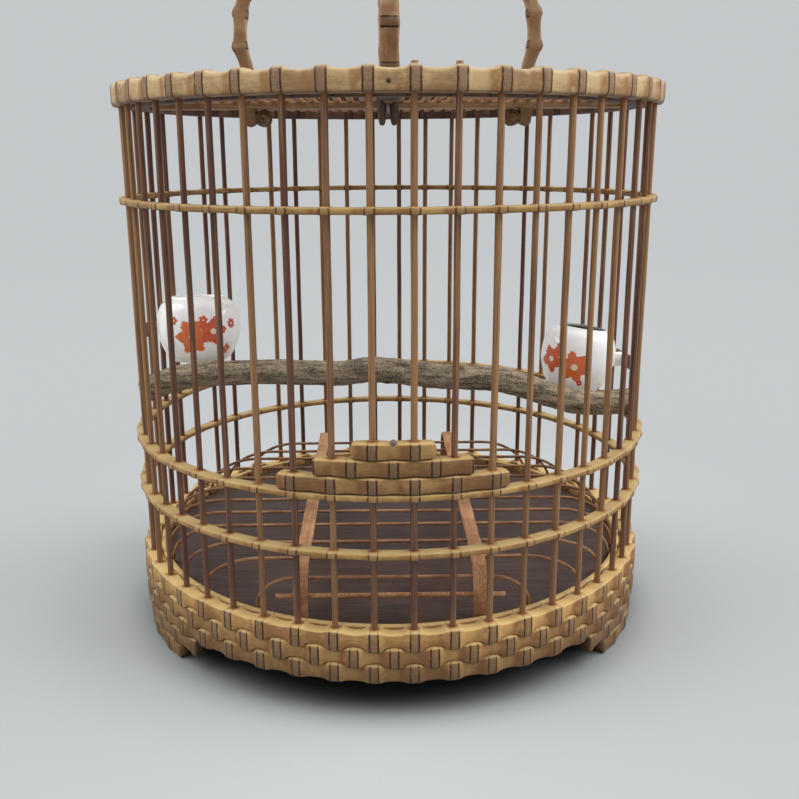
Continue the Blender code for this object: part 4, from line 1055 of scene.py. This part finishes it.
for name, side, reach, radius, height, low, tilt, lug_high, blooms in (
    ("cup_left", -1, 0.1250, 0.0268, 0.0418, 0.1519, 0.0, 0.1728,
     ((0.02, -0.001, 6.0, 0.0112, (0.72, 0.150, 0.028)), (0.52, 0.002, 5.0, 0.0092, (0.62, 0.090, 0.025)),
      (1.05, 0.0055, 9.0, 0.0036, (0.55, 0.060, 0.030)), (0.30, 0.0095, 5.0, 0.0030, (0.62, 0.090, 0.025)),
      (0.92, -0.0105, 4.0, 0.0034, (0.60, 0.14, 0.05)), (-0.45, 0.009, 5.0, 0.0028, (0.62, 0.090, 0.025)),
      (2.6, 0.0, 6.0, 0.0085, (0.72, 0.150, 0.028)))),
    ("cup_right", 1, 0.1226, 0.0239, 0.0408, 0.1315, 8.5, 0.1495,
     ((-0.28, -0.002, 6.0, 0.0106, (0.70, 0.135, 0.028)), (-0.98, 0.002, 5.0, 0.0092, (0.62, 0.090, 0.025)),
      (-0.72, 0.0105, 4.0, 0.0030, (0.62, 0.090, 0.025)), (-0.12, -0.013, 4.0, 0.0024, (0.55, 0.060, 0.030)),
      (-2.6, 0.0, 6.0, 0.0085, (0.70, 0.135, 0.028)))),
):
    azimuth = math.radians(side * CUP_AZIMUTH)
    base = Vector((reach * math.sin(azimuth), -reach * math.cos(azimuth), low))
    lean_back = Matrix.Rotation(math.radians(-5 if side < 0 else -3), 4, "X")
    upright = Matrix.Translation(base) @ Matrix.Rotation(math.radians(tilt), 4, "Y") @ lean_back
    centre = upright @ Vector((0, 0, height / 2))
    outline = [(max(share, 0) * radius, rise * height) for share, rise in CUP_OUTLINE + CUP_INSIDE]
    line = smooth_line([Vector((reach, 0, rise)) for reach, rise in outline], 3)
    profile = [(max(point.x, 0.0), point.z) for point in line]
    glaze = glaze_finish(name + "_glaze", centre, blooms, radius, 0.7 + side)
    body = turned(profile, 72, glaze, upright)
    if side > 0:
        body.materials.append(inside_finish)
        level = upright.inverted()
        for face in body.polygons:
            spot = level @ face.center
            facing = level.to_3x3() @ face.normal
            if spot.x * facing.x + spot.y * facing.y < -0.0002 or (facing.z > 0.5 and spot.z < height / 2):
                face.material_index = 1
    out = Matrix.Rotation(azimuth, 4, "Z")
    neck = rounded_bar((-0.003, LUG_END, lug_high - 0.0045),
                       (0.003, -reach - radius + 0.004, lug_high + 0.0045), 0.0011, glaze)
    head = rounded_bar((-0.01175, LUG_END - 0.0011, lug_high - 0.0047),
                       (0.01175, LUG_END + 0.0003, lug_high + 0.0047), 0.0006, clay_finish)
    for part in (neck, head):
        part.transform(out)
    piece(name + "_glazed", [body, neck, head], name, "porcelain", name)

# Floor grille
# A low table that keeps the bird off its droppings: bent bamboo wires lashed under two bent slats.

wire_finish = wood_finish("grille_wire", (0.42, 0.23, 0.11), (0.20, 0.090, 0.045), (120.0, 700.0, 700.0))
slat_finish = wood_finish("grille_slat", (0.52, 0.28, 0.13), (0.28, 0.125, 0.055), (800.0, 40.0, 800.0))


def bent_line(reach, other, top, bottom, run, rise):
    """Up, across and down again with wide round bends, as (reach, height)."""
    turns = [math.pi / 2 * step / 12 for step in range(13)]
    line = [(reach, bottom + (top - rise - bottom) * step / 4) for step in range(4)]
    line += [(reach - run + run * math.cos(turn), top - rise + rise * math.sin(turn)) for turn in turns]
    span = (other + run) - (reach - run)
    line += [(reach - run + span * step / 24, top) for step in range(1, 24)]
    line += [(other + run - run * math.sin(turn), top - rise + rise * math.cos(turn)) for turn in turns]
    line += [(other, top - rise - (top - rise - bottom) * step / 4) for step in range(1, 5)]
    return line


FLOOR = 0.0420
WIRE_TOP = 0.0683
FRONT_WIRE_TOP = 0.0639
FRONT_BAR_PLACE = -0.1328
SLAT_PLACE = 0.0478
GRILLE_SHIFT = -0.0014
WIRES = ((-0.73, 0.0153), (-0.587, 0.0140), (-0.42, 0.0095), (-0.283, 0.0055), (-0.145, 0.002), (0.0, 0.0),
         (0.129, 0.0), (0.258, 0.0), (0.397, 0.0), (0.507, 0.0), (0.636, 0.0))
wires = []
for share, lean in WIRES:
    place = share * BAR_CIRCLE
    reach = math.sqrt(0.1436 ** 2 - (place + lean) ** 2)
    wires.append([Vector((across, place + lean * (WIRE_TOP - high) / (WIRE_TOP - FLOOR)
                          + 0.0006 * noise.noise(Vector((across * 14, share * 9, 0.0))), high))
                  for across, high in bent_line(reach, -reach, WIRE_TOP, FLOOR, 0.034, 0.0245)])
wires.append([Vector((across, -0.1283 + 0.0046 * (FRONT_WIRE_TOP - high) / (FRONT_WIRE_TOP - FLOOR), high))
              for across, high in bent_line(0.0734, -0.0734, FRONT_WIRE_TOP, FLOOR, 0.022, 0.017)])
grille = [tube(wire, [0.0010] * len(wire), wire_finish, 10) for wire in wires]
front_bar = [Vector((across / 12 * 0.061 + GRILLE_SHIFT, FRONT_BAR_PLACE, 0.0556))
             for across in range(-12, 13)]
grille.append(tube(front_bar, [0.0013] * len(front_bar), slat_finish, 12))
for side in (-1, 1):
    sections = []
    for point, tangent in walk(bent_line(0.1328, -0.1343, 0.0695, FLOOR, 0.016, 0.016)):
        normal = Vector((-tangent.y, tangent.x))
        ring = []
        for step in range(16):
            wide, deep = squared(math.tau * step / 16, 0.4)
            flat = point + normal * deep * 0.0009
            ring.append(Vector((side * SLAT_PLACE + wide * 0.0039 + GRILLE_SHIFT, flat.x, flat.y)))
        sections.append(ring)
    grille.append(skin(sections, slat_finish))
piece("grille", grille, "floor_grille", "slat_bamboo", "floor_grille")
